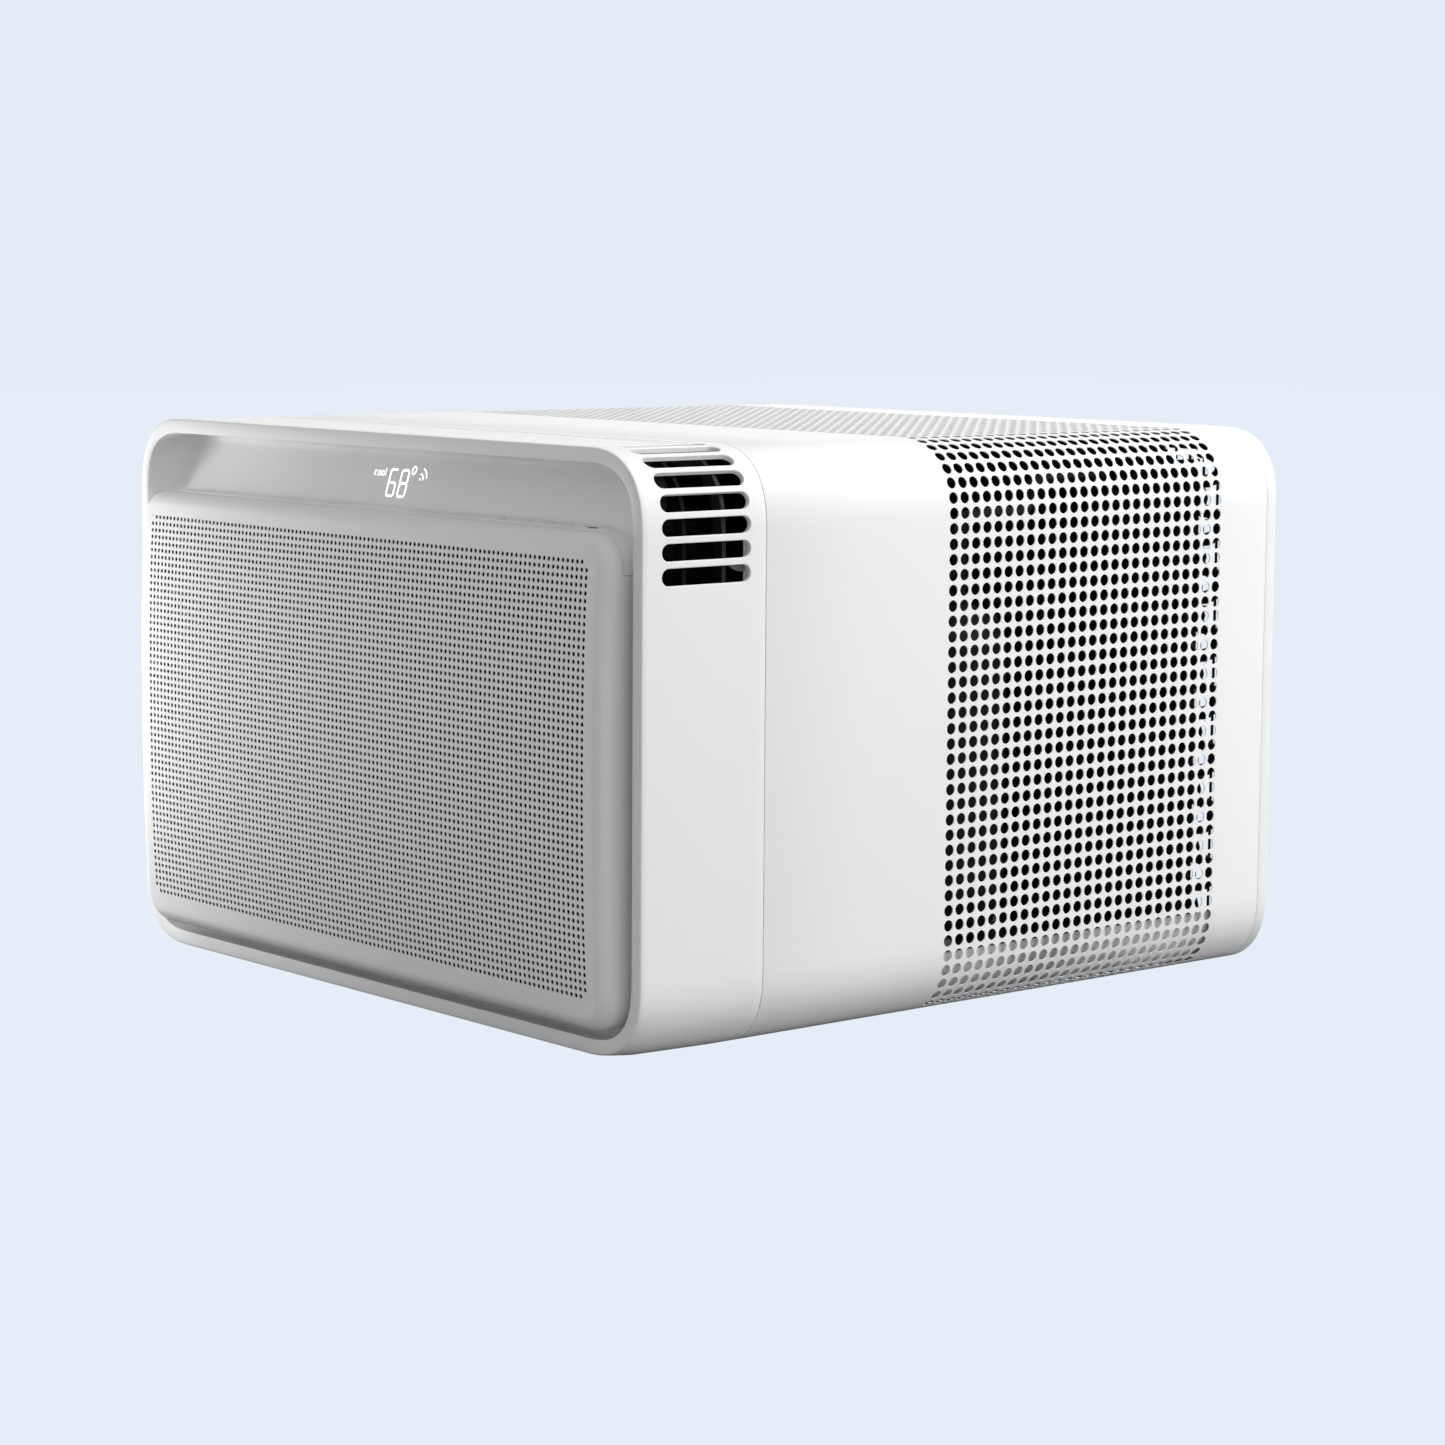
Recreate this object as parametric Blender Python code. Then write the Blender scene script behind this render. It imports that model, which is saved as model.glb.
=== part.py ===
"""Window air conditioner: a perforated box cabinet with a tilting intake panel.

Units are metres. +Z is up and the front faces -Y. The origin is on the ground, below the
middle of the whole object. Depths are measured back from the front rim with back().
"""

import math

import bmesh
import bpy
from mathutils import Matrix, Vector

# ---- driving dimensions ----------------------------------------------------
WIDTH = 0.5125
HEIGHT = 0.340
CASE_DEPTH = 0.510          # front rim to rear face
PANEL_PROUD = 0.0158        # how far the intake panel bulges in front of the rim
CORNER = 0.0485             # corner size of the case section
CORNER_POWER = 2.6          # 2 is a circle; more is squarer
CORNER_STEPS = 6
GAP = 0.0003                # clearance between touching pieces
RUNNING_FIT = 0.0001        # radial clearance of a shaft or pin in its bore

SHELL_DEPTH = 0.0882
SHELL_WALL = 0.003
RIM_WIDTH = 0.0082
RIM_THICKNESS = 0.004
SEAM = 0.0007
CHIN_LIFT = 0.0033          # the shell's underside rises this much at the rim
CHIN_RUN = 0.045
SLEEVE_WALL = 0.0015
REAR_FRAME_START = 0.5012

SLOT_COUNT_EACH_SIDE = 23   # outlet slots on each side of the top centre slot
SLOT_PITCH = 0.013415
SLOT_HEIGHT = 0.0105
SLOT_FRONT = 0.0136
SLOT_BACK = 0.0773

OPENING_TOP = 0.3312        # inner edges of the rim
OPENING_BOTTOM = 0.012
TRAY_WALL = 0.002
TRAY_BACK = 0.0295
PLATE_DEPTH = 0.0168        # floor of the bay behind the intake panel
PLATE_THICKNESS = 0.0023
PLATE_TOP = 0.2840          # the bay is deeper above this, for the button board
FASCIA_FOOT = 0.0170        # depth of the display fascia at the shelf
FASCIA_HEAD = 0.0275        # and at its top
COVE = 0.008
SHELF_TOP = 0.2952
SHELF_THICKNESS = 0.003

PANEL_HALF_WIDTH = 0.2405
PANEL_BOTTOM = 0.0185
PANEL_TOP = 0.2943
PANEL_CORNER = 0.022
PANEL_EDGE_ROUND = 0.008
PANEL_SKIN = 0.0025
PANEL_SKIRT_BACK = 0.014
PANEL_CROWN = 142.0e-3      # bow per metre squared of height from the middle
PANEL_CROWN_4 = 5.6         # steeper bow near the top and bottom edges
PANEL_BOW = 15.0e-3         # bow per metre squared of width from the middle
HINGE_DEPTH = 0.010
HINGE_Z = 0.025
HINGE_PIN_RADIUS = 0.0025

BUTTON_START = 0.0950       # left end of the first and widest button
BUTTON_WIDTH = 0.0280
BUTTON_SHRINK = 0.81        # each button is this much narrower than the last
BUTTON_SPACE = 0.0021
BUTTON_FRONT = 0.0022
BUTTON_BACK = 0.0152
BUTTON_CLEARANCE = 0.0004
BUTTON_COUNT = 5

ROTOR_X = -0.035
ROTOR_Z = 0.165
SHAFT_RADIUS = 0.004
BLOWER_RADIUS = 0.088
FAN_RADIUS = 0.134
COMPRESSOR_X = 0.158
COMPRESSOR_DEPTH = 0.300
COMPRESSOR_RADIUS = 0.052
ACCUMULATOR_X = 0.076


def back(depth):
    """World Y of a point this far behind the front rim."""
    return depth - (CASE_DEPTH - PANEL_PROUD) / 2


# ---- scene and helpers -----------------------------------------------------
for old in list(bpy.data.objects):
    bpy.data.objects.remove(old, do_unlink=True)

unit = bpy.data.collections.new("window_air_conditioner")
cutters = bpy.data.collections.new("cutters")
bpy.context.scene.collection.children.link(unit)
bpy.context.scene.collection.children.link(cutters)


def material(name, colour, roughness, metallic=0.0):
    made = bpy.data.materials.new(name)
    made.use_nodes = True
    shader = made.node_tree.nodes["Principled BSDF"]
    shader.inputs["Base Color"].default_value = (*colour, 1.0)
    shader.inputs["Roughness"].default_value = roughness
    shader.inputs["Metallic"].default_value = metallic
    return made


WHITE_PLASTIC = material("white_plastic", (0.86, 0.86, 0.86), 0.55)
WHITE_PAINT = material("white_paint", (0.88, 0.88, 0.88), 0.5)
BLACK_PLASTIC = material("black_plastic", (0.02, 0.02, 0.02), 0.5)
ZINC_STEEL = material("zinc_steel", (0.55, 0.56, 0.57), 0.4, 0.9)
ALUMINIUM = material("aluminium", (0.75, 0.76, 0.77), 0.35, 1.0)
COPPER = material("copper", (0.72, 0.38, 0.22), 0.3, 1.0)
DARK_PAINT = material("dark_paint", (0.03, 0.03, 0.035), 0.4)
RUBBER = material("rubber", (0.03, 0.03, 0.03), 0.8)
CIRCUIT = material("circuit_board", (0.03, 0.18, 0.08), 0.5)
FILTER_CLOTH = material("filter_cloth", (0.35, 0.38, 0.42), 0.9)
SMOKED = material("smoked_window", (0.01, 0.01, 0.012), 0.1)


def finish_mesh(shape, name, finish=None, cutter=False):
    """Turns a bmesh into an object: a node of the unit, or a hidden cutter."""
    bmesh.ops.recalc_face_normals(shape, faces=shape.faces)
    mesh = bpy.data.meshes.new(name)
    shape.to_mesh(mesh)
    shape.free()
    made = bpy.data.objects.new(name, mesh)
    (cutters if cutter else unit).objects.link(made)
    if cutter:
        made.hide_render = True
        made.display_type = "WIRE"
    if finish:
        mesh.materials.append(finish)
    mesh.shade_smooth()
    mesh.set_sharp_from_angle(angle=math.radians(35))
    return made


def boolean(target, other, operation="DIFFERENCE"):
    step = target.modifiers.new(other.name, "BOOLEAN")
    step.object = other
    step.operation = operation
    return target


def corner_arc(centre_x, centre_z, size, first_turn, steps=CORNER_STEPS, power=CORNER_POWER):
    """Points of one superelliptic corner, a quarter turn from first_turn (in quarter turns)."""
    points = []
    for step in range(steps + 1):
        angle = math.pi / 2 * step / steps
        along = size * math.cos(angle) ** (2 / power)
        across = size * math.sin(angle) ** (2 / power)
        for _ in range(first_turn % 4):
            along, across = -across, along
        points.append((centre_x + along, centre_z + across))
    return points


def outline(half_width, bottom, top, corner, power=CORNER_POWER):
    """Closed rounded rectangle in X and Z, anticlockwise from the right-hand side."""
    x = half_width - corner
    points = corner_arc(x, top - corner, corner, 0, power=power)
    points += corner_arc(-x, top - corner, corner, 1, power=power)
    points += corner_arc(-x, bottom + corner, corner, 2, power=power)
    points += corner_arc(x, bottom + corner, corner, 3, power=power)
    return points


def case_outline(inset=0.0, lift=0.0):
    """The case section, inset by a wall and with its underside lifted."""
    return outline(WIDTH / 2 - inset, lift + inset, HEIGHT - inset, CORNER - inset)


def arch(inset, foot, upward=True):
    """Open run of the case section above (or below) foot, from the right to the left."""
    half_width = WIDTH / 2 - inset
    corner = CORNER - inset
    x = half_width - corner
    if upward:
        run = corner_arc(x, HEIGHT - inset - corner, corner, 0)
        run += corner_arc(-x, HEIGHT - inset - corner, corner, 1)
    else:
        run = corner_arc(-x, inset + corner, corner, 2) + corner_arc(x, inset + corner, corner, 3)
        run.reverse()
    return [(half_width, foot)] + run + [(-half_width, foot)]


def prism_mesh(points, front, rear):
    """A flat X-Z polygon carried from depth front to depth rear."""
    shape = bmesh.new()
    face = shape.faces.new([shape.verts.new((x, back(front), z)) for x, z in points])
    moved = bmesh.ops.extrude_face_region(shape, geom=[face])["geom"]
    corners = [item for item in moved if isinstance(item, bmesh.types.BMVert)]
    bmesh.ops.translate(shape, verts=corners, vec=(0, rear - front, 0))
    return shape


def prism(name, points, front, rear, finish=None, cutter=False):
    return finish_mesh(prism_mesh(points, front, rear), name, finish, cutter)


def side_prism(name, points, half_length, finish=None, cutter=False):
    """A depth-Z polygon carried across the width, from -half_length to half_length."""
    shape = bmesh.new()
    corners = [shape.verts.new((-half_length, back(depth), z)) for depth, z in points]
    face = shape.faces.new(corners)
    moved = bmesh.ops.extrude_face_region(shape, geom=[face])["geom"]
    corners = [item for item in moved if isinstance(item, bmesh.types.BMVert)]
    bmesh.ops.translate(shape, verts=corners, vec=(2 * half_length, 0, 0))
    return finish_mesh(shape, name, finish, cutter)


def ring_loft(name, rings, finish, closed=True):
    """A skin over rings of (points, depth). Closed joins the last ring to the first."""
    shape = bmesh.new()
    loops = []
    for points, depth in rings:
        places = depth if callable(depth) else (lambda x, z, fixed=depth: fixed)
        loops.append([shape.verts.new((x, back(places(x, z)), z)) for x, z in points])
    pairs = list(zip(loops, loops[1:]))
    if closed:
        pairs.append((loops[-1], loops[0]))
    for near, far in pairs:
        for index in range(len(near)):
            follow = (index + 1) % len(near)
            shape.faces.new((near[index], near[follow], far[follow], far[index]))
    if not closed:
        shape.faces.new(loops[0])
        shape.faces.new(loops[-1])
    return finish_mesh(shape, name, finish)


def box(name, x_range, depth_range, z_range, finish=None, cutter=False):
    size = (x_range[1] - x_range[0], depth_range[1] - depth_range[0], z_range[1] - z_range[0])
    middle = (sum(x_range) / 2, back(sum(depth_range) / 2), sum(z_range) / 2)
    shape = bmesh.new()
    bmesh.ops.create_cube(shape, size=1.0, matrix=Matrix.Translation(middle) @ Matrix.Diagonal((*size, 1)))
    return finish_mesh(shape, name, finish, cutter)


AXIS_TURN = {
    "X": Matrix.Rotation(math.pi / 2, 4, "Y"),
    "Y": Matrix.Rotation(-math.pi / 2, 4, "X"),
    "Z": Matrix.Identity(4),
}


def cylinder(name, axis, start, length, radius, finish=None, cutter=False, sides=16, end_radius=None):
    """A cylinder or cone from start (x, depth, z), running along +axis."""
    shape = bmesh.new()
    place = Matrix.Translation((start[0], back(start[1]), start[2])) @ AXIS_TURN[axis]
    bmesh.ops.create_cone(
        shape,
        cap_ends=True,
        segments=sides,
        radius1=radius,
        radius2=radius if end_radius is None else end_radius,
        depth=length,
        matrix=place @ Matrix.Translation((0, 0, length / 2)),
    )
    return finish_mesh(shape, name, finish, cutter)


def turned(name, profile, centre, axis, finish, sides=24):
    """A profile of (radius, height) swept once round the axis through centre (x, depth, z)."""
    shape = bmesh.new()
    place = Matrix.Translation((centre[0], back(centre[1]), centre[2])) @ AXIS_TURN[axis]
    loops = []
    for radius, height in profile:
        ring = []
        for step in range(sides):
            angle = 2 * math.pi * step / sides
            ring.append(place @ Vector((radius * math.cos(angle), radius * math.sin(angle), height)))
        loops.append([shape.verts.new(point) for point in ring])
    for near, far in zip(loops, loops[1:] + loops[:1]):
        for index in range(sides):
            follow = (index + 1) % sides
            shape.faces.new((near[index], near[follow], far[follow], far[index]))
    return finish_mesh(shape, name, finish)


def tube(name, route, radius, finish):
    """A round pipe through route points (x, depth, z), with its ends closed."""
    curve = bpy.data.curves.new(name, "CURVE")
    curve.dimensions = "3D"
    curve.bevel_depth = radius
    curve.bevel_resolution = 2
    curve.use_fill_caps = True
    spline = curve.splines.new("POLY")
    spline.points.add(len(route) - 1)
    for point, (x, depth, z) in zip(spline.points, route):
        point.co = (x, back(depth), z, 1.0)
    curve.materials.append(finish)
    made = bpy.data.objects.new(name, curve)
    unit.objects.link(made)
    return made


def hang(pieces, pivot_name, x, depth, z):
    """Parents pieces to an empty on their joint's axis, leaving them where they are."""
    pivot = bpy.data.objects.new(pivot_name, None)
    pivot.location = (x, back(depth), z)
    unit.objects.link(pivot)
    for piece in pieces:
        piece.data.transform(Matrix.Translation(-pivot.location))
        piece.parent = pivot


# ---- front shell -----------------------------------------------------------
def chin(depth):
    """Height of the shell's underside at this depth."""
    return CHIN_LIFT * max(0.0, 1 - depth / CHIN_RUN) ** 2


def perimeter_point(distance, inset=0.0):
    """Point and outward direction at a distance round the case section from the top centre."""
    path = [(0.0, HEIGHT)] + corner_arc(WIDTH / 2 - CORNER, HEIGHT - CORNER, CORNER, 0, 24)[::-1]
    path.append((WIDTH / 2, HEIGHT / 2))
    left = abs(distance)
    for (ax, az), (bx, bz) in zip(path, path[1:]):
        span = math.hypot(bx - ax, bz - az)
        if left <= span or (bx, bz) == path[-1]:
            break
        left -= span
    along = ((bx - ax) / span, (bz - az) / span)
    outward = (-along[1], along[0])
    point = (ax + along[0] * left - outward[0] * inset, az + along[1] * left - outward[1] * inset)
    mirror = 1 if distance >= 0 else -1
    return (point[0] * mirror, point[1]), (outward[0] * mirror, outward[1])


def slot_cutters():
    """One long rounded slot for each step round the top and down both sides."""
    end = SLOT_HEIGHT / 2
    half_run = (SLOT_BACK - SLOT_FRONT) / 2
    tip = end * math.sqrt(0.5)
    profile = [(half_run, tip / 2), (half_run - end + tip, end), (-half_run + end - tip, end)]
    profile += [(-half_run, tip / 2)]
    profile += [(along, -up) for along, up in reversed(profile)]
    shape = bmesh.new()
    for step in range(-SLOT_COUNT_EACH_SIDE, SLOT_COUNT_EACH_SIDE + 1):
        (x, z), (out_x, out_z) = perimeter_point(step * SLOT_PITCH)
        layers = []
        for reach in (-0.004, 0.002):
            layer = []
            for along, up in profile:
                depth = (SLOT_FRONT + SLOT_BACK) / 2 + along
                place = (x + out_x * reach - out_z * up, back(depth), z + out_z * reach + out_x * up)
                layer.append(shape.verts.new(place))
            layers.append(layer)
        count = len(profile)
        for index in range(count):
            follow = (index + 1) % count
            shape.faces.new((layers[0][index], layers[0][follow], layers[1][follow], layers[1][index]))
        shape.faces.new(layers[0])
        shape.faces.new(layers[1])
    return finish_mesh(shape, "outlet_slots", cutter=True)


def opening_outline(inset=0.0):
    """Inner edge of the rim, inset further by a clearance or a wall."""
    half_width = WIDTH / 2 - RIM_WIDTH - inset
    return outline(half_width, OPENING_BOTTOM + inset, OPENING_TOP - inset, CORNER - RIM_WIDTH - inset)


stations = (0.0, 0.011, 0.024, CHIN_RUN, SHELL_DEPTH)
shell_rings = [(case_outline(0.0, chin(depth)), depth) for depth in stations]
shell_rings.append((case_outline(SHELL_WALL), SHELL_DEPTH))
shell_rings.append((case_outline(SHELL_WALL, CHIN_LIFT), RIM_THICKNESS))
shell_rings.append((opening_outline(), RIM_THICKNESS))
shell_rings.append((opening_outline(), 0.0))
front_shell = ring_loft("front_shell", shell_rings, WHITE_PLASTIC)
boolean(front_shell, slot_cutters())

# ---- recess tray: bay for the panel, shelf for the buttons, display fascia --
TRAY_START = RIM_THICKNESS + GAP
bay_half_width = WIDTH / 2 - RIM_WIDTH
tray_edge = opening_outline(-TRAY_WALL)
recess_tray = prism("recess_tray", tray_edge, TRAY_START, TRAY_BACK, WHITE_PLASTIC)
shelf_bottom = SHELF_TOP - SHELF_THICKNESS

lower_bay = prism("lower_bay", opening_outline(), -0.010, PLATE_DEPTH, cutter=True)
bay_limit = box("bay_limit", (-0.3, 0.3), (-0.020, 0.060), (0.0, shelf_bottom), cutter=True)
boolean(lower_bay, bay_limit, "INTERSECT")
boolean(recess_tray, lower_bay)
board_bay_depths = (0.010, TRAY_BACK - PLATE_THICKNESS)
board_bay = box("board_bay", (-0.236, 0.236), board_bay_depths, (PLATE_TOP, shelf_bottom), cutter=True)
boolean(recess_tray, board_bay)
plate_back = prism(
    "plate_back", opening_outline(0.002), PLATE_DEPTH + PLATE_THICKNESS, TRAY_BACK + 0.001, cutter=True
)
plate_limit = (0.0, PLATE_TOP - PLATE_THICKNESS)
boolean(plate_back, box("plate_limit", (-0.3, 0.3), (-0.020, 0.060), plate_limit, cutter=True), "INTERSECT")
boolean(recess_tray, plate_back)

fascia_profile = [
    (-0.010, SHELF_TOP),
    (FASCIA_FOOT, SHELF_TOP),
    (FASCIA_HEAD - 0.0012, OPENING_TOP - COVE),
    (FASCIA_HEAD - 0.0030, OPENING_TOP - COVE * 0.35),
    (FASCIA_HEAD - COVE, OPENING_TOP),
    (-0.010, OPENING_TOP),
]
display_bay = side_prism("display_bay", fascia_profile, bay_half_width, cutter=True)
boolean(display_bay, prism("bay_corners", opening_outline(), -0.020, 0.060, cutter=True), "INTERSECT")
boolean(recess_tray, display_bay)
boolean(recess_tray, box("intake_window", (-0.224, 0.224), (0.010, 0.040), (0.036, 0.279), cutter=True))

shelf_nose = box(
    "shelf_nose",
    (-bay_half_width + 0.001, bay_half_width - 0.001),
    (GAP, TRAY_START + 0.004),
    (shelf_bottom, SHELF_TOP),
    cutter=True,
)
boolean(recess_tray, shelf_nose, "UNION")

# ---- buttons and sensor in the shelf ----------------------------------------
button_left = BUTTON_START
button_width = BUTTON_WIDTH
button_spans = []
for number in range(BUTTON_COUNT):
    button_spans.append((button_left, button_left + button_width))
    button_left += button_width + BUTTON_SPACE
    button_width *= BUTTON_SHRINK
sensor_span = (button_left + 0.0005, button_left + 0.0070)

BUTTON_PROUD = 0.0003
BUTTON_THICKNESS = 0.0028
for number, (left, right) in enumerate(button_spans, start=1):
    wide = BUTTON_CLEARANCE
    pocket = box(
        f"button_pocket_{number}",
        (left - wide, right + wide),
        (BUTTON_FRONT - wide, BUTTON_BACK + wide),
        (shelf_bottom - 0.001, SHELF_TOP + 0.001),
        cutter=True,
    )
    boolean(recess_tray, pocket)
    cap_shape = bmesh.new()
    cap_size = (right - left, BUTTON_BACK - BUTTON_FRONT, BUTTON_THICKNESS, 1.0)
    bmesh.ops.create_cube(cap_shape, size=1.0, matrix=Matrix.Diagonal(cap_size))
    cap = finish_mesh(cap_shape, f"button_{number}", WHITE_PLASTIC)
    cap_height = SHELF_TOP + BUTTON_PROUD - BUTTON_THICKNESS / 2
    cap.location = ((left + right) / 2, back((BUTTON_FRONT + BUTTON_BACK) / 2), cap_height)

SENSOR_DEPTHS = (0.0045, 0.0085)
sensor_pocket = box(
    "sensor_pocket",
    (sensor_span[0] - GAP, sensor_span[1] + GAP),
    (SENSOR_DEPTHS[0] - GAP, SENSOR_DEPTHS[1] + GAP),
    (shelf_bottom - 0.001, SHELF_TOP + 0.001),
    cutter=True,
)
boolean(recess_tray, sensor_pocket)
box("sensor_window", sensor_span, SENSOR_DEPTHS, (shelf_bottom, SHELF_TOP + BUTTON_PROUD), SMOKED)

BOARD_TOP = 0.2875
BOARD_THICKNESS = 0.0016
button_board = box(
    "button_board",
    (BUTTON_START - 0.006, sensor_span[1] + 0.0095),
    (0.0025, 0.0190),
    (BOARD_TOP - BOARD_THICKNESS, BOARD_TOP),
    CIRCUIT,
)
for number, (left, right) in enumerate(button_spans, start=1):
    middle = (left + right) / 2
    dome = box(
        f"switch_dome_{number}",
        (middle - 0.003, middle + 0.003),
        (0.0065, 0.0125),
        (BOARD_TOP - 0.0005, shelf_bottom - 0.0009),
        cutter=True,
    )
    boolean(button_board, dome, "UNION")
box("display_board", (-0.042, 0.042), (0.0300, 0.0316), (0.298, 0.322), CIRCUIT)

# ---- intake panel, filter, hinge pins and catches ---------------------------
panel_middle = (PANEL_BOTTOM + PANEL_TOP) / 2


def panel_face(inset_depth):
    """Depth of the crowned front face, pushed back by inset_depth."""

    def depth(x, z):
        rise = z - panel_middle
        crown = PANEL_CROWN * rise**2 + PANEL_CROWN_4 * rise**4 + PANEL_BOW * x**2
        return -PANEL_PROUD + crown + inset_depth

    return depth


def panel_outline(inset, power=2.3):
    bottom = PANEL_BOTTOM + inset
    top = PANEL_TOP - inset
    return outline(PANEL_HALF_WIDTH - inset, bottom, top, PANEL_CORNER - inset, power)


def panel_shrunk(points, factor):
    return [(x * factor, panel_middle + (z - panel_middle) * factor) for x, z in points]


flat_edge = panel_outline(PANEL_EDGE_ROUND)
rings = [(panel_shrunk(flat_edge, factor), panel_face(0.0)) for factor in (0.02, 0.35, 0.7)]
for inset in (PANEL_EDGE_ROUND, PANEL_EDGE_ROUND * 0.35, PANEL_EDGE_ROUND * 0.06):
    reach = PANEL_EDGE_ROUND - inset
    drop = PANEL_EDGE_ROUND - math.sqrt(PANEL_EDGE_ROUND**2 - reach**2)
    rings.append((panel_outline(inset), panel_face(drop)))
rings.append((panel_outline(0.0), PANEL_SKIRT_BACK))
rings.append((panel_outline(PANEL_SKIN), PANEL_SKIRT_BACK))
rings.append((panel_outline(PANEL_SKIN), panel_face(PANEL_EDGE_ROUND)))
inner_edge = panel_outline(PANEL_EDGE_ROUND + 0.001)
rings.append((inner_edge, panel_face(PANEL_SKIN)))
rings += [(panel_shrunk(inner_edge, factor), panel_face(PANEL_SKIN)) for factor in (0.7, 0.35, 0.02)]
intake_panel = ring_loft("intake_panel", rings, WHITE_PLASTIC, closed=False)
boolean(intake_panel, box("skirt_relief", (-0.3, 0.3), (-0.0006, 0.030), (0.272, 0.310), cutter=True))
hinge_start = (-0.25, HINGE_DEPTH, HINGE_Z)
hinge_bore = cylinder("hinge_bore", "X", hinge_start, 0.5, HINGE_PIN_RADIUS + RUNNING_FIT, cutter=True)
boolean(intake_panel, hinge_bore)

pin_length = 0.018
pin_start = bay_half_width - 0.004 - pin_length
pin_seat = cylinder("pin_seat", "X", hinge_start, 0.5, HINGE_PIN_RADIUS + RUNNING_FIT, cutter=True)
boolean(recess_tray, pin_seat)
for side, start_x in (("right", pin_start), ("left", -pin_start - pin_length)):
    end = (start_x, HINGE_DEPTH, HINGE_Z)
    cylinder(f"hinge_pin_{side}", "X", end, pin_length, HINGE_PIN_RADIUS, ZINC_STEEL)

FILTER_FRONT = -0.0030
FILTER_BACK = 0.0050
filter_frame = box(
    "filter_frame", (-0.2270, 0.2270), (FILTER_FRONT, FILTER_BACK), (0.034, 0.278), BLACK_PLASTIC
)
for column in range(4):
    for row in range(2):
        left = -0.2210 + column * 0.1110
        bottom = 0.040 + row * 0.1175
        pane = box(
            f"filter_pane_{column}_{row}",
            (left, left + 0.1090),
            (FILTER_FRONT - 0.001, FILTER_BACK + 0.001),
            (bottom, bottom + 0.1145),
            cutter=True,
        )
        boolean(filter_frame, pane)
filter_mesh = box(
    "filter_mesh", (-0.2265, 0.2265), (-0.0043, FILTER_FRONT - GAP), (0.0345, 0.2775), FILTER_CLOTH
)
catches = []
for side, sign in (("right", 1), ("left", -1)):
    span = sorted((sign * 0.2290, sign * 0.2370))
    catches.append(box(f"panel_catch_{side}", span, (0.0020, 0.0130), (0.252, 0.268), ZINC_STEEL))
hang([intake_panel, filter_frame, filter_mesh, *catches], "panel_hinge", 0.0, HINGE_DEPTH, HINGE_Z)

# ---- cabinet sleeve, seal, base pan, rear frame ------------------------------
SLEEVE_START = SHELL_DEPTH + SEAM
SLEEVE_END = REAR_FRAME_START - SEAM / 2
sleeve_rings = [
    (case_outline(), SLEEVE_START),
    (case_outline(), SLEEVE_END),
    (case_outline(SLEEVE_WALL), SLEEVE_END),
    (case_outline(SLEEVE_WALL), SLEEVE_START),
]
cabinet_sleeve = ring_loft("cabinet_sleeve", sleeve_rings, WHITE_PAINT)

GLAND = (-WIDTH / 2, 0.130, 0.075)
GLAND_RADIUS = 0.0085
gland_start = (GLAND[0] - 0.002, GLAND[1], GLAND[2])
gland_hole = cylinder("gland_hole", "X", gland_start, 0.02, GLAND_RADIUS + GAP, cutter=True)
boolean(cabinet_sleeve, gland_hole)
cord_gland = cylinder("cord_gland", "X", GLAND, 0.010, GLAND_RADIUS, RUBBER)
boolean(cord_gland, cylinder("gland_bore", "X", gland_start, 0.02, 0.0045, cutter=True))

seal_rings = [
    (case_outline(0.0035), 0.0800),
    (case_outline(0.0035), 0.0960),
    (case_outline(0.0065), 0.0960),
    (case_outline(0.0065), 0.0800),
]
ring_loft("front_seal", seal_rings, RUBBER)

PAN_START = 0.0970
PAN_END = 0.4880
PAN_RIM = 0.0395
PAN_BLANK = CORNER + 0.0015     # height of the bent blank, before its rim is trimmed level
pan_outer = arch(0.0022, PAN_BLANK, upward=False)
pan_inner = arch(0.0037, PAN_BLANK, upward=False)
base_pan = prism("base_pan", pan_outer + pan_inner[::-1], PAN_START, PAN_END, ZINC_STEEL)
trim_depths = (PAN_START - 0.010, PAN_END + 0.010)
boolean(base_pan, box("pan_trim", (-0.3, 0.3), trim_depths, (PAN_RIM, PAN_BLANK + 0.010), cutter=True))
DRAIN = (-0.100, 0.455)
drain_hole = cylinder("drain_hole", "Z", (DRAIN[0], DRAIN[1], -0.001), 0.012, 0.0078, cutter=True)
boolean(base_pan, drain_hole)
boolean(cabinet_sleeve, drain_hole)
drain_plug = cylinder("drain_plug", "Z", (DRAIN[0], DRAIN[1], 0.0004), 0.0050, 0.0074, RUBBER)
plug_cap = cylinder("plug_cap", "Z", (DRAIN[0], DRAIN[1], 0.0041), 0.0030, 0.0110, cutter=True)
boolean(drain_plug, plug_cap, "UNION")

rear_rings = [
    (case_outline(), REAR_FRAME_START),
    (case_outline(), CASE_DEPTH - 0.0008),
    (case_outline(0.0008), CASE_DEPTH),
    (case_outline(0.0140), CASE_DEPTH),
    (case_outline(0.0140), 0.5050),
    (case_outline(0.0036), 0.5050),
    (case_outline(0.0036), 0.4900),
    (case_outline(0.0020), 0.4900),
    (case_outline(0.0020), REAR_FRAME_START),
]
rear_frame = ring_loft("rear_frame", rear_rings, WHITE_PLASTIC)

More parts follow.
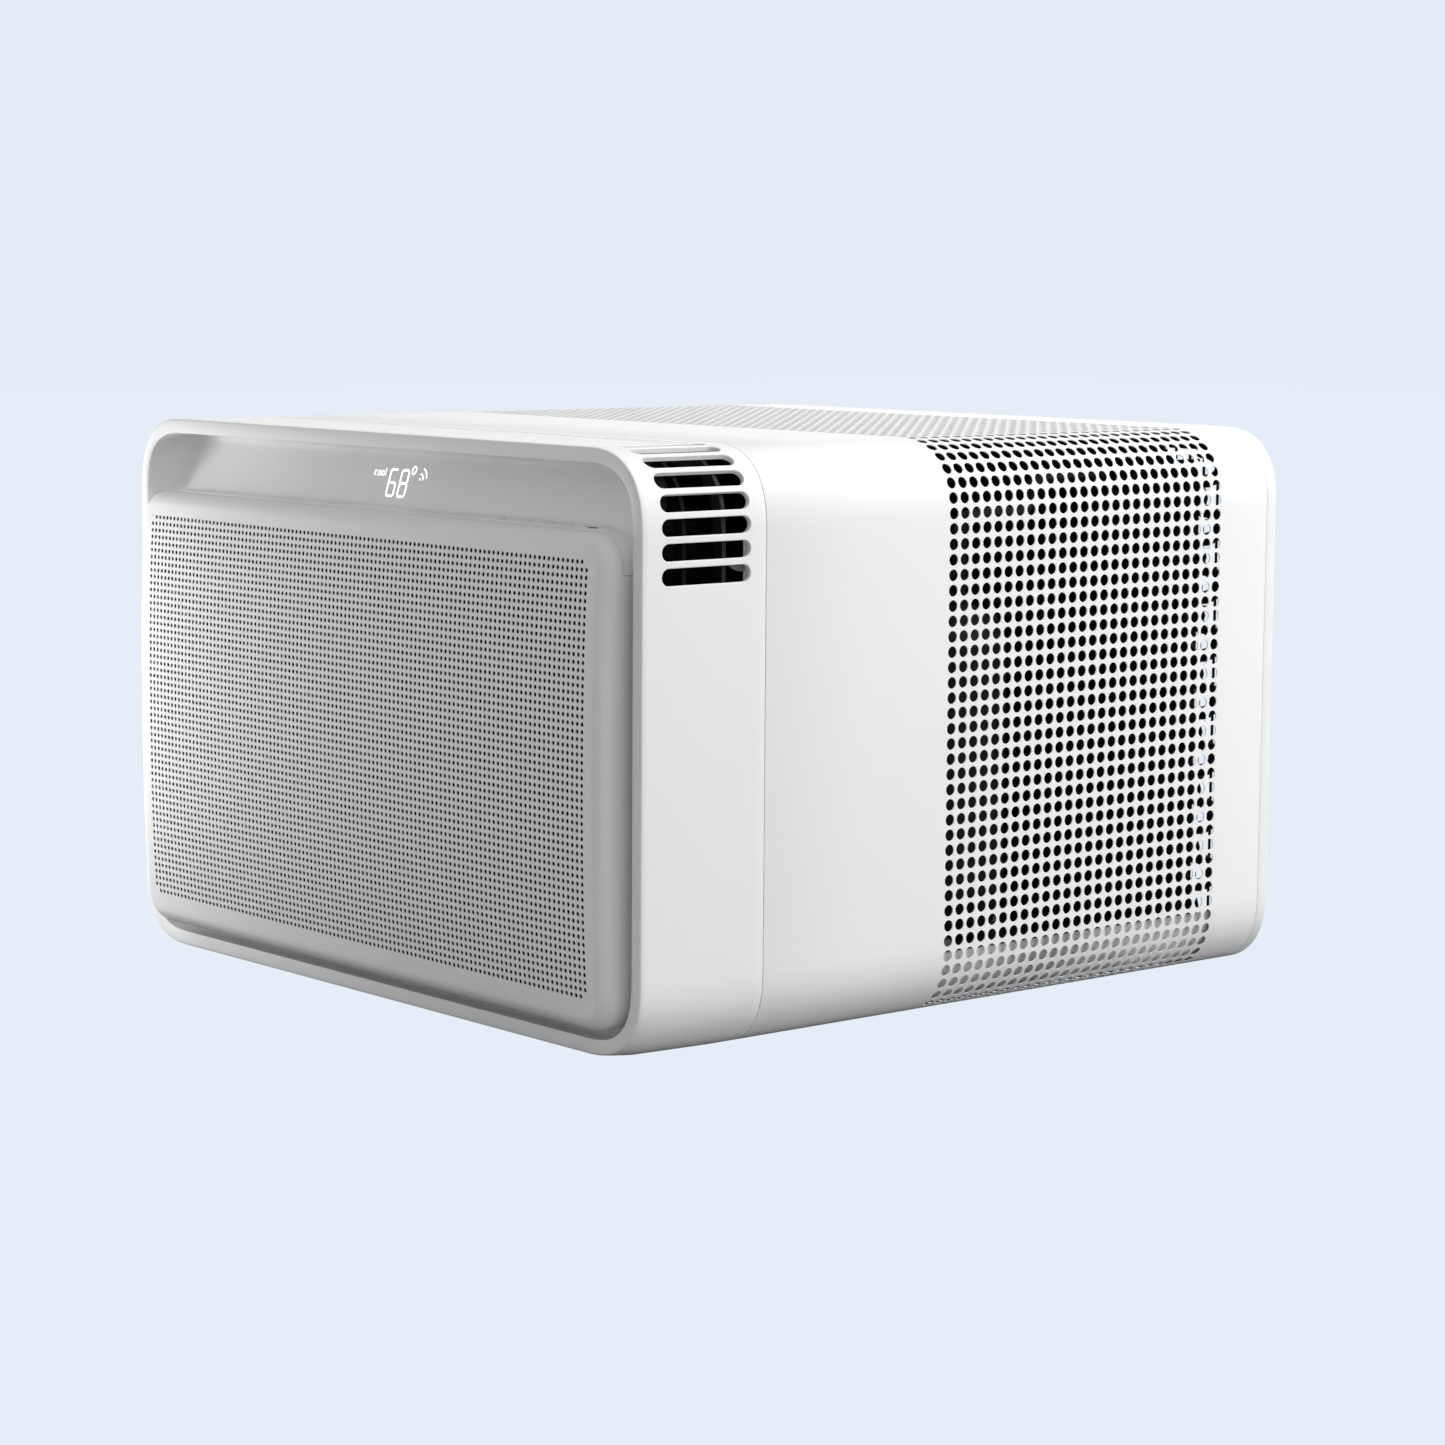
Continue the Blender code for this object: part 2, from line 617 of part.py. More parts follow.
GUARD_FRONT = 0.4980
GUARD_BACK = 0.5010
guard_rings = [
    (case_outline(0.0045), GUARD_FRONT),
    (case_outline(0.0045), GUARD_BACK),
    (case_outline(0.0170), GUARD_BACK),
    (case_outline(0.0170), GUARD_FRONT),
]
rear_guard = ring_loft("rear_guard", guard_rings, DARK_PAINT)
GUARD_BARS = 10
for index in range(GUARD_BARS):
    x = (index - (GUARD_BARS - 1) / 2) * 0.040
    span = (x - 0.0015, x + 0.0015)
    bar = box(f"guard_bar_{index}", span, (0.4986, 0.5004), (0.0100, 0.3300), cutter=True)
    boolean(rear_guard, bar, "UNION")
guard_rail = box("guard_rail", (-0.2460, 0.2460), (0.4983, 0.4997), (0.1685, 0.1715), cutter=True)
boolean(rear_guard, guard_rail, "UNION")

SCREW_X = WIDTH / 2 - 0.0078
SCREW_ROWS = (0.075, 0.265)
number = 0
for sign in (-1, 1):
    for height in SCREW_ROWS:
        number += 1
        x = sign * SCREW_X
        pocket = cylinder(f"screw_pocket_{number}", "Y", (x, 0.5080, height), 0.004, 0.0038, cutter=True)
        boolean(rear_frame, pocket)
        hole = cylinder(
            f"screw_hole_{number}", "Y", (x, 0.4960, height), 0.014, 0.0021, cutter=True, sides=12
        )
        boolean(rear_frame, hole)
        boolean(rear_guard, hole)
        screw = cylinder(
            f"rear_screw_{number}", "Y", (x, 0.5083, height), 0.0016, 0.0034, ZINC_STEEL, sides=12
        )
        shank = cylinder(
            f"screw_shank_{number}", "Y", (x, 0.4970, height), 0.0118, 0.0018, cutter=True, sides=8
        )
        boolean(screw, shank, "UNION")

# ---- air outlet --------------------------------------------------------------
DUCT_FOOT = 0.2600
duct_path = [(0.2520, DUCT_FOOT), (0.2200, DUCT_FOOT), (0.2200, 0.2960)]
duct_path += [(-x, z) for x, z in reversed(duct_path)]
duct_under = [(0.2520, DUCT_FOOT - 0.002), (0.2180, DUCT_FOOT - 0.002), (0.2180, 0.2940)]
duct_under += [(-x, z) for x, z in reversed(duct_under)]
outlet_duct = prism("outlet_duct", duct_path + duct_under[::-1], 0.0310, 0.0795, BLACK_PLASTIC)
outlet_window = box("outlet_window", (-0.120, 0.060), (0.040, 0.072), (0.290, 0.300), cutter=True)
boolean(outlet_duct, outlet_window)
RIB_THICKNESS = 0.0027
for place, start in (("front", 0.0306), ("rear", 0.0589)):
    rib = arch(SHELL_WALL + GAP, DUCT_FOOT + 0.001) + arch(0.0110, DUCT_FOOT + 0.001)[::-1]
    prism(f"outlet_rib_{place}", rib, start, start + RIB_THICKNESS, BLACK_PLASTIC)

# ---- evaporator and blower ----------------------------------------------------
box("evaporator_coil", (-0.2120, 0.2120), (0.0320, 0.0680), (0.0260, 0.2880), ALUMINIUM)
header_route = [(0.2170, 0.0500, 0.2500), (0.2170, 0.0500, 0.0450)]
tube("evaporator_header", header_route, 0.004, COPPER)


def volute(clearance):
    """Outline of the blower's scroll: a growing spiral that ends in an upward throat."""
    points = []
    for step in range(19):
        turn = step / 18
        angle = math.radians(20 - 290 * turn)
        radius = BLOWER_RADIUS + 0.008 + 0.030 * turn - clearance
        points.append((ROTOR_X + radius * math.cos(angle), ROTOR_Z - 0.010 + radius * math.sin(angle)))
    throat_left = points[-1][0]
    points.append((throat_left, 0.2915))
    points.append((ROTOR_X + BLOWER_RADIUS - clearance, 0.2915))
    return points


SCROLL_FRONT = 0.0980
SCROLL_BACK = 0.1660
scroll_housing = prism("scroll_housing", volute(0.0), SCROLL_FRONT, SCROLL_BACK, BLACK_PLASTIC)
cavity = prism("scroll_cavity", volute(0.002), SCROLL_FRONT + 0.002, SCROLL_BACK - 0.002, cutter=True)
boolean(scroll_housing, cavity)
inlet_start = (ROTOR_X, SCROLL_FRONT - 0.005, ROTOR_Z)
inlet_hole = cylinder("blower_inlet", "Y", inlet_start, 0.01, 0.070, cutter=True, sides=24)
boolean(scroll_housing, inlet_hole)
rear_hole_start = (ROTOR_X, SCROLL_BACK - 0.005, ROTOR_Z)
boolean(scroll_housing, cylinder("scroll_shaft_hole", "Y", rear_hole_start, 0.01, 0.012, cutter=True))
throat_box = (ROTOR_X - 0.030, ROTOR_X + 0.060)
throat_hole = box(
    "throat_hole", throat_box, (SCROLL_FRONT + 0.004, SCROLL_BACK - 0.004), (0.280, 0.300), cutter=True
)
boolean(scroll_housing, throat_hole)

BLADE_COUNT = 20
WHEEL_FRONT = 0.1030
WHEEL_BACK = 0.1580
hub_bore = SHAFT_RADIUS + RUNNING_FIT
hub_profile = [(hub_bore, -0.014), (hub_bore, 0.0), (BLOWER_RADIUS - 0.002, 0.0)]
hub_profile += [(BLOWER_RADIUS - 0.002, -0.002), (0.014, -0.002), (0.012, -0.014)]
blower_wheel = turned("blower_wheel", hub_profile, (ROTOR_X, WHEEL_BACK, ROTOR_Z), "Y", BLACK_PLASTIC, 24)
ring_bore = BLOWER_RADIUS - 0.014
front_ring = turned(
    "wheel_ring",
    [(ring_bore, 0.0), (BLOWER_RADIUS, 0.0), (BLOWER_RADIUS, 0.003), (ring_bore, 0.003)],
    (ROTOR_X, WHEEL_FRONT, ROTOR_Z),
    "Y",
    BLACK_PLASTIC,
    24,
)
cutters.objects.link(front_ring)
unit.objects.unlink(front_ring)
front_ring.hide_render = True
front_ring.display_type = "WIRE"
blade_shape = bmesh.new()
for blade in range(BLADE_COUNT):
    angle = 2 * math.pi * blade / BLADE_COUNT
    turn = Matrix.Rotation(angle, 4, "Y")
    tilt = Matrix.Translation((BLOWER_RADIUS - 0.008, 0, 0)) @ Matrix.Rotation(math.radians(35), 4, "Y")
    size = Matrix.Diagonal((0.013, WHEEL_BACK - WHEEL_FRONT - 0.002, 0.0016, 1))
    middle = Matrix.Translation((ROTOR_X, back((WHEEL_FRONT + WHEEL_BACK) / 2), ROTOR_Z))
    bmesh.ops.create_cube(blade_shape, size=1.0, matrix=middle @ turn @ tilt @ size)
wheel_blades = finish_mesh(blade_shape, "wheel_blades", cutter=True)
boolean(blower_wheel, wheel_blades, "UNION")
boolean(blower_wheel, front_ring, "UNION")

# ---- motor, shaft and condenser fan -------------------------------------------
motor_shaft = cylinder("motor_shaft", "Y", (ROTOR_X, 0.1100, ROTOR_Z), 0.3100, SHAFT_RADIUS, ZINC_STEEL)
MOTOR_FRONT = 0.1950
bore = SHAFT_RADIUS + RUNNING_FIT
motor_profile = [(bore, 0.0), (0.014, 0.0), (0.016, 0.008), (0.044, 0.012), (0.050, 0.020)]
motor_profile += [(0.050, 0.058), (0.044, 0.066), (0.016, 0.070), (0.014, 0.078), (bore, 0.078)]
turned("fan_motor", motor_profile, (ROTOR_X, MOTOR_FRONT, ROTOR_Z), "Y", DARK_PAINT)
bracket_front = MOTOR_FRONT + 0.0785
bracket_edges = [(-0.050, 0.0045), (0.050, 0.0045), (0.030, ROTOR_Z + 0.030), (-0.030, ROTOR_Z + 0.030)]
bracket_edges = [(ROTOR_X + x, z) for x, z in bracket_edges]
motor_bracket = prism("motor_bracket", bracket_edges, bracket_front, bracket_front + 0.003, ZINC_STEEL)
bracket_hole_start = (ROTOR_X, bracket_front - 0.003, ROTOR_Z)
boolean(motor_bracket, cylinder("bracket_hole", "Y", bracket_hole_start, 0.01, 0.008, cutter=True))

FAN_FRONT = 0.3860
FAN_BACK = 0.4160
fan_hub = [(hub_bore, 0.0), (0.026, 0.0), (0.030, 0.006), (0.030, 0.030), (hub_bore, 0.030)]
condenser_fan = turned("condenser_fan", fan_hub, (ROTOR_X, FAN_FRONT, ROTOR_Z), "Y", BLACK_PLASTIC, 24)
slinger = turned(
    "slinger_ring",
    [(FAN_RADIUS - 0.004, 0.012), (FAN_RADIUS, 0.012), (FAN_RADIUS, 0.020), (FAN_RADIUS - 0.004, 0.020)],
    (ROTOR_X, FAN_FRONT, ROTOR_Z),
    "Y",
    BLACK_PLASTIC,
    32,
)
cutters.objects.link(slinger)
unit.objects.unlink(slinger)
slinger.hide_render = True
slinger.display_type = "WIRE"
fan_blades = bmesh.new()
FAN_BLADES = 5
for blade in range(FAN_BLADES):
    turn = Matrix.Rotation(2 * math.pi * blade / FAN_BLADES, 4, "Y")
    pitch = Matrix.Translation((0.079, 0, 0)) @ Matrix.Rotation(math.radians(22), 4, "X")
    size = Matrix.Diagonal((0.108, 0.0022, 0.062, 1))
    middle = Matrix.Translation((ROTOR_X, back(FAN_FRONT + 0.016), ROTOR_Z))
    bmesh.ops.create_cube(fan_blades, size=1.0, matrix=middle @ turn @ pitch @ size)
boolean(condenser_fan, finish_mesh(fan_blades, "fan_blades", cutter=True), "UNION")
boolean(condenser_fan, slinger, "UNION")
hang([motor_shaft, blower_wheel, condenser_fan], "rotor_axis", ROTOR_X, 0.3100, ROTOR_Z)

# ---- bulkhead, shroud, condenser -----------------------------------------------
bulkhead = prism("bulkhead", case_outline(0.0042), 0.1750, 0.1765, ZINC_STEEL)
boolean(bulkhead, cylinder("bulkhead_hole", "Y", (ROTOR_X, 0.170, ROTOR_Z), 0.012, 0.018, cutter=True))
for name, height in (("suction", 0.2500), ("liquid", 0.0700)):
    pass_start = (0.2300, 0.170, height)
    boolean(bulkhead, cylinder(f"{name}_pass", "Y", pass_start, 0.012, 0.0070, cutter=True, sides=12))

SHROUD_BACK = 0.4320
fan_shroud = prism("fan_shroud", case_outline(0.0060), SHROUD_BACK - 0.002, SHROUD_BACK, BLACK_PLASTIC)
shroud_start = (ROTOR_X, 0.4020, ROTOR_Z)
orifice = cylinder(
    "orifice_wall", "Y", shroud_start, SHROUD_BACK - 0.4025, FAN_RADIUS + 0.012, cutter=True, sides=32
)
boolean(fan_shroud, orifice, "UNION")
orifice_start = (ROTOR_X, 0.3900, ROTOR_Z)
orifice_hole = cylinder("orifice_hole", "Y", orifice_start, 0.06, FAN_RADIUS + 0.009, cutter=True, sides=32)
boolean(fan_shroud, orifice_hole)
COIL_HALF_WIDTH = 0.2145
HEADER_X = -COIL_HALF_WIDTH - 0.006
box("condenser_coil", (-COIL_HALF_WIDTH, COIL_HALF_WIDTH), (0.4400, 0.4840), (0.0160, 0.3200), ALUMINIUM)
tube("condenser_header", [(HEADER_X, 0.4620, 0.3000), (HEADER_X, 0.4620, 0.0600)], 0.004, COPPER)

# ---- compressor and pipes --------------------------------------------------------
CAN = [(0.030, 0.0295), (0.046, 0.040), (COMPRESSOR_RADIUS, 0.056)]
CAN += [(COMPRESSOR_RADIUS, 0.212), (0.046, 0.226), (0.030, 0.234)]


def closed_can(name, profile, x, depth, finish, sides=20):
    """A turned can with flat ends, from a profile of (radius, height)."""
    shape = bmesh.new()
    loops = []
    for radius, height in profile:
        ring = []
        for step in range(sides):
            angle = 2 * math.pi * step / sides
            point = (x + radius * math.cos(angle), back(depth) + radius * math.sin(angle), height)
            ring.append(shape.verts.new(point))
        loops.append(ring)
    for near, far in zip(loops, loops[1:]):
        for index in range(sides):
            follow = (index + 1) % sides
            shape.faces.new((near[index], near[follow], far[follow], far[index]))
    shape.faces.new(loops[0])
    shape.faces.new(loops[-1])
    return finish_mesh(shape, name, finish)


compressor = closed_can("compressor", CAN, COMPRESSOR_X, COMPRESSOR_DEPTH, DARK_PAINT)
foot_start = (COMPRESSOR_X, COMPRESSOR_DEPTH, 0.0280)
foot_plate = cylinder("foot_plate", "Z", foot_start, 0.0030, 0.066, cutter=True, sides=24)
boolean(compressor, foot_plate, "UNION")
for index in range(3):
    angle = math.radians(90 + 120 * index)
    x = COMPRESSOR_X + 0.057 * math.cos(angle)
    depth = COMPRESSOR_DEPTH + 0.057 * math.sin(angle)
    drop = cylinder(f"stud_hole_{index}", "Z", (x, depth, 0.025), 0.008, 0.0035, cutter=True, sides=8)
    boolean(compressor, drop)
    grommet = cylinder(f"grommet_{index + 1}", "Z", (x, depth, 0.0045), 0.0230, 0.011, RUBBER, sides=12)
    bore = cylinder(f"grommet_bore_{index}", "Z", (x, depth, 0.008), 0.03, 0.0035, cutter=True, sides=8)
    boolean(grommet, bore)
    nut = cylinder(
        f"compressor_nut_{index + 1}", "Z", (x, depth, 0.0315), 0.0050, 0.0065, ZINC_STEEL, sides=6
    )
    stud = cylinder(f"stud_{index}", "Z", (x, depth, 0.0090), 0.0240, 0.0028, cutter=True, sides=8)
    boolean(nut, stud, "UNION")

cap_start = (COMPRESSOR_X, COMPRESSOR_DEPTH, 0.2365)
cylinder("terminal_cover", "Z", cap_start, 0.016, 0.022, BLACK_PLASTIC, sides=12, end_radius=0.019)
tank = [(0.012, 0.062), (0.024, 0.074), (0.024, 0.186), (0.012, 0.198)]
closed_can("accumulator", tank, ACCUMULATOR_X, COMPRESSOR_DEPTH, DARK_PAINT, 16)


def bend(points, radius=0.012, steps=4):
    """Rounds each inner corner of a route with an arc of about this radius."""
    route = [Vector(points[0])]
    for before, corner, after in zip(points, points[1:], points[2:]):
        corner = Vector(corner)
        start = corner + (Vector(before) - corner).normalized() * radius
        end = corner + (Vector(after) - corner).normalized() * radius
        for step in range(steps + 1):
            t = step / steps
            route.append(start * (1 - t) ** 2 + corner * 2 * t * (1 - t) + end * t**2)
    route.append(Vector(points[-1]))
    return [tuple(point) for point in route]


discharge = [(COMPRESSOR_X + 0.032, 0.300, 0.2365), (COMPRESSOR_X + 0.032, 0.300, 0.290)]
discharge += [(COMPRESSOR_X + 0.032, 0.360, 0.290), (0.190, 0.360, 0.310), (0.190, 0.424, 0.310)]
tube("discharge_tube", bend(discharge), 0.004, COPPER)
suction = [(ACCUMULATOR_X, COMPRESSOR_DEPTH, 0.1990), (ACCUMULATOR_X, COMPRESSOR_DEPTH, 0.250)]
suction += [(ACCUMULATOR_X, 0.230, 0.250), (0.230, 0.200, 0.250), (0.230, 0.092, 0.250)]
tube("suction_tube", bend(suction), 0.005, COPPER)
liquid = [(0.230, 0.092, 0.070), (0.230, 0.205, 0.070), (0.070, 0.205, 0.030), (0.070, 0.424, 0.024)]
tube("liquid_tube", bend(liquid), 0.003, COPPER)

# ---- controls ---------------------------------------------------------------------
control_box = box("control_box", (-0.2300, -0.1050), (0.1850, 0.2450), (0.2050, 0.3150), ZINC_STEEL)
control_cavity = box("control_cavity", (-0.2285, -0.1065), (0.1865, 0.2600), (0.2065, 0.3135), cutter=True)
boolean(control_box, control_cavity)
box("control_board", (-0.2250, -0.1500), (0.1900, 0.1916), (0.2120, 0.3080), CIRCUIT)
cylinder("run_capacitor", "Y", (-0.1270, 0.1900, 0.2550), 0.050, 0.017, ALUMINIUM, sides=16)
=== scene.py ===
"""Looks of a white window air conditioner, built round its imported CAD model.

Metres, +Z up, front towards -Y. Depths are measured back from the front rim, as in the CAD.
"""

import math

import bmesh
import bpy
import numpy as np
from mathutils import Matrix, Vector


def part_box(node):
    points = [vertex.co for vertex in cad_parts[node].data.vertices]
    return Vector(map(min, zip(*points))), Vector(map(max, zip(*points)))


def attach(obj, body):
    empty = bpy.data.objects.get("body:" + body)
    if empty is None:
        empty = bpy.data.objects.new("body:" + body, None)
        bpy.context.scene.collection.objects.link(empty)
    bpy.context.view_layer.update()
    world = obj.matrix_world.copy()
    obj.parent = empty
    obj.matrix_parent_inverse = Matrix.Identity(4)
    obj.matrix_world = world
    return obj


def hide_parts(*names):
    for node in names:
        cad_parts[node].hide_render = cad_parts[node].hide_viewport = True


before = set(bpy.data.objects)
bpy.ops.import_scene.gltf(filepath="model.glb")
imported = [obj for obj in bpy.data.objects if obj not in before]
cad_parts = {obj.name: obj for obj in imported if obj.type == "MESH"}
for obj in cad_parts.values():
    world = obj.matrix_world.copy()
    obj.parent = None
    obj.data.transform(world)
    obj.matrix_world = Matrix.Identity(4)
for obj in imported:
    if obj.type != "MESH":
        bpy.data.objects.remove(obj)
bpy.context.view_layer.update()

# ---- sizes shared with the CAD ---------------------------------------
WIDTH = 0.5125
HEIGHT = 0.340
CASE_DEPTH = 0.510
PANEL_PROUD = 0.0158
CORNER = 0.0485
CORNER_POWER = 2.6
FRONT_Y = -(CASE_DEPTH - PANEL_PROUD) / 2

SHELL_DEPTH = 0.0882
SHELL_WALL = 0.003
RIM_BACK = 0.0042                   # depth of the rim, where the recess tray begins
RIM_SIDE = 0.0082
RIM_TOP = 0.0088
CHIN_LIFT = 0.0033
CHIN_RUN = 0.045
CHIN_TOP = 0.120                    # above this height the chin's lift has faded out
CHIN_FADE = 0.0715
SEAM = 0.0004
SLOTS_EACH_SIDE = 23
SLOT_PITCH = 0.013415
SLOT_HEIGHT = 0.0105
SLOT_FRONT = 0.0136
SLOT_BACK = 0.0773

SLEEVE_START = SHELL_DEPTH + SEAM
REAR_START = 0.5012
SLEEVE_END = REAR_START - SEAM / 2
SLEEVE_WALL = 0.0006
HOLE_COLUMNS = 26
HOLE_PITCH = 0.008947
FIRST_HOLE = 0.2314
HOLE_RADIUS = 0.00353

PANEL_HALF_WIDTH = 0.2405
PANEL_BOTTOM = 0.0185
PANEL_TOP = 0.2943
PANEL_MIDDLE = (PANEL_BOTTOM + PANEL_TOP) / 2
PANEL_CORNER = 0.022
PANEL_EDGE = 0.009
PANEL_SKIRT = 0.014
PANEL_CROWN_UP = (0.142, 5.6)       # how fast the face falls back, per metre^2 and metre^4 of height
PANEL_CROWN_ACROSS = 0.015          # the same, per metre^2 of width
PANEL_LIP = 0.00015                 # where the skirt ends above the shelf, just short of it
GRILLE_PITCH = 0.004209
GRILLE_COLUMNS = 107
GRILLE_ROWS = 58
GRILLE_MIDDLE = 0.1583
GRILLE_RADIUS = 0.00134
GRILLE_SKIN = 0.0005

SHELF_TOP = 0.2952
FASCIA_FOOT = 0.0170
FASCIA_SLOPE = 0.345
COVE = 0.008


def back(depth):
    """World Y of a depth behind the front rim."""
    return FRONT_Y + depth


# ---- mesh tools ------------------------------------------------------
def make_object(name, mesh, finish, body="chassis", replaces=(), sharp=35.0):
    made = bpy.data.objects.new(name, mesh)
    bpy.context.scene.collection.objects.link(made)
    if finish:
        mesh.materials.append(finish)
    mesh.shade_smooth()
    mesh.set_sharp_from_angle(angle=math.radians(sharp))
    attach(made, body)
    if replaces:
        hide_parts(*replaces)
    return made


def welded_mesh(name, points, faces):
    """A mesh from points and lists of equal-length faces, with coincident points made one."""
    _, first, index = np.unique(
        np.round(points * 1e7).astype(np.int64), axis=0, return_index=True, return_inverse=True
    )
    index = index.reshape(-1)
    mesh = bpy.data.meshes.new(name)
    joined = []
    for block in faces:
        for row in index[block].tolist():
            corners = [corner for step, corner in enumerate(row) if corner != row[step - 1]]
            if len(set(corners)) > 2:
                joined.append(corners)
    mesh.from_pydata(points[first].tolist(), [], joined)
    mesh.validate()
    return mesh


class Sheet:
    """Collects quads laid out on grids of points, for one welded mesh."""

    def __init__(self):
        self.points = []
        self.faces = []
        self.count = 0

    def add(self, points):
        points = np.asarray(points, float)
        flat = points.reshape(-1, 3)
        start = self.count
        self.points.append(flat)
        self.count += len(flat)
        return start + np.arange(len(flat)).reshape(points.shape[:-1])

    def grid(self, points, wrap=False):
        """A grid of points (rows, columns, 3), with its columns joined round when wrap is set."""
        given = self.add(points)
        ids = np.concatenate([given, given[:, :1]], axis=1) if wrap else given
        quads = np.stack([ids[:-1, :-1], ids[:-1, 1:], ids[1:, 1:], ids[1:, :-1]], axis=-1)
        self.faces.append(quads.reshape(-1, 4))
        return given

    def rings(self, layers):
        """Layers of the same shape (..., ring, 3): each pair is joined all the way round its ring."""
        ids = [self.add(layer) for layer in layers]
        for near, far in zip(ids, ids[1:]):
            quads = np.stack([near, np.roll(near, -1, axis=-1), np.roll(far, -1, axis=-1), far], axis=-1)
            self.faces.append(quads.reshape(-1, 4))

    def mesh(self, name):
        mesh = welded_mesh(name, np.concatenate(self.points), self.faces)
        shape = bmesh.new()
        shape.from_mesh(mesh)
        bmesh.ops.recalc_face_normals(shape, faces=shape.faces)
        shape.to_mesh(mesh)
        shape.free()
        return mesh


def capped_mesh(name, loops):
    """A closed mesh through loops of points, with the first and last loops filled."""
    shape = bmesh.new()
    rows = [[shape.verts.new(point) for point in loop] for loop in loops]
    for near, far in zip(rows, rows[1:]):
        for index in range(len(near)):
            follow = (index + 1) % len(near)
            shape.faces.new((near[index], near[follow], far[follow], far[index]))
    shape.faces.new(rows[0])
    shape.faces.new(rows[-1])
    bmesh.ops.recalc_face_normals(shape, faces=shape.faces)
    mesh = bpy.data.meshes.new(name)
    shape.to_mesh(mesh)
    shape.free()
    return mesh


def boxes_mesh(name, lows, highs):
    """Many boxes as one mesh, from their low and high corners."""
    lows, highs = np.asarray(lows, float), np.asarray(highs, float)
    pick = np.array([[i & 1, (i >> 1) & 1, (i >> 2) & 1] for i in range(8)])
    points = np.where(pick[None], highs[:, None, :], lows[:, None, :])
    quads = np.array([[0, 2, 3, 1], [4, 5, 7, 6], [0, 1, 5, 4], [2, 6, 7, 3], [0, 4, 6, 2], [1, 3, 7, 5]])
    faces = quads[None] + 8 * np.arange(len(lows))[:, None, None]
    mesh = bpy.data.meshes.new(name)
    mesh.from_pydata(points.reshape(-1, 3).tolist(), [], faces.reshape(-1, 4).tolist())
    return mesh


def helper(data):
    """A working object, to be removed or staged."""
    made = bpy.data.objects.new(data.name, data)
    bpy.context.scene.collection.objects.link(made)
    return made


def evaluated_mesh(target):
    """The object's mesh with its modifiers or bevel worked out."""
    return bpy.data.meshes.new_from_object(target.evaluated_get(bpy.context.evaluated_depsgraph_get()))


def tube_mesh(name, paths, radius, closed_path=False):
    """A round tube along each path of points."""
    curve = bpy.data.curves.new(name, "CURVE")
    curve.dimensions = "3D"
    curve.bevel_depth = radius
    curve.bevel_resolution = 2
    curve.use_fill_caps = True
    for path in paths:
        line = curve.splines.new("POLY")
        line.points.add(len(path) - 1)
        line.use_cyclic_u = closed_path
        for point, place in zip(line.points, path):
            point.co = (*place, 1.0)
    made = helper(curve)
    mesh = evaluated_mesh(made)
    bpy.data.objects.remove(made)
    return mesh


def carved(mesh, tools):
    """The mesh with the tools cut out of it. The tools are then removed."""
    target = helper(mesh)
    for tool in tools:
        step = target.modifiers.new("cut", "BOOLEAN")
        step.object = tool
        step.operation = "DIFFERENCE"
        step.solver = "EXACT"
    cut = evaluated_mesh(target)
    for used in [target, *tools]:
        bpy.data.objects.remove(used)
    return cut


def corner_curve(size, power, steps):
    angle = np.linspace(0, math.pi / 2, steps)
    across = size * np.clip(np.cos(angle), 0, 1) ** (2 / power)
    up = size * np.clip(np.sin(angle), 0, 1) ** (2 / power)
    return across, up


class Section:
    """A rounded-rectangle outline in X and Z, read by distance round it from the top centre."""

    def __init__(self, half_width, bottom, top, corner, power=CORNER_POWER, steps=1201):
        across, up = corner_curve(corner, power, steps)
        x, z = half_width - corner, top - corner
        right_top = np.stack([x + across, z + up], axis=1)[::-1]
        right_low = np.stack([x + across, bottom + corner - up], axis=1)
        half = np.concatenate([[[0.0, top]], right_top, right_low, [[0.0, bottom]]])
        other = half[::-1] * [-1, 1]
        self.path = np.concatenate([half, other[1:]])
        spans = np.linalg.norm(np.diff(self.path, axis=0), axis=1)
        self.at = np.concatenate([[0.0], np.cumsum(spans)])
        self.length = float(self.at[-1])
        self.corner_start = half_width - corner
        self.corner_end = float(self.at[steps])

    def read(self, distance):
        """Points and outward normals, each (..., 2), at distances that may be negative."""
        round_it = np.mod(distance, self.length)
        small = 2e-4
        place = [np.interp(round_it, self.at, self.path[:, axis]) for axis in (0, 1)]
        ahead = np.mod(distance + small, self.length)
        behind = np.mod(distance - small, self.length)
        run = []
        for axis in (0, 1):
            path = self.path[:, axis]
            run.append(np.interp(ahead, self.at, path) - np.interp(behind, self.at, path))
        size = np.hypot(run[0], run[1])
        return np.stack(place, axis=-1), np.stack([-run[1] / size, run[0] / size], axis=-1)


CASE = Section(WIDTH / 2, 0.0, HEIGHT, CORNER)


def case_point(distance, depth, inset):
    """World points on the case, inset along its normal and lifted at the chin."""
    distance, depth, inset = np.broadcast_arrays(distance, depth, inset)
    place, normal = CASE.read(distance)
    x = place[..., 0] - normal[..., 0] * inset
    z = place[..., 1] - normal[..., 1] * inset
    lift = CHIN_LIFT * np.clip(1 - depth / CHIN_RUN, 0, 1) ** 2
    z = z + lift * np.clip((CHIN_TOP - z) / CHIN_FADE, 0, 1)
    return np.stack([x, back(depth), z], axis=-1)


def rim_width(distance):
    """Width of the rim face: a little more along the top and bottom than at the sides."""
    _, normal = CASE.read(distance)
    return RIM_SIDE + (RIM_TOP - RIM_SIDE) * normal[..., 1] ** 2


# ---- materials -------------------------------------------------------
def new_material(name):
    made = bpy.data.materials.new(name)
    made.use_nodes = True
    return made, made.node_tree.nodes, made.node_tree.links


def noise(nodes, links, vector, scale, detail):
    made = nodes.new("ShaderNodeTexNoise")
    made.inputs["Scale"].default_value = scale
    made.inputs["Detail"].default_value = detail
    links.new(vector, made.inputs["Vector"])
    return made.outputs["Fac"]


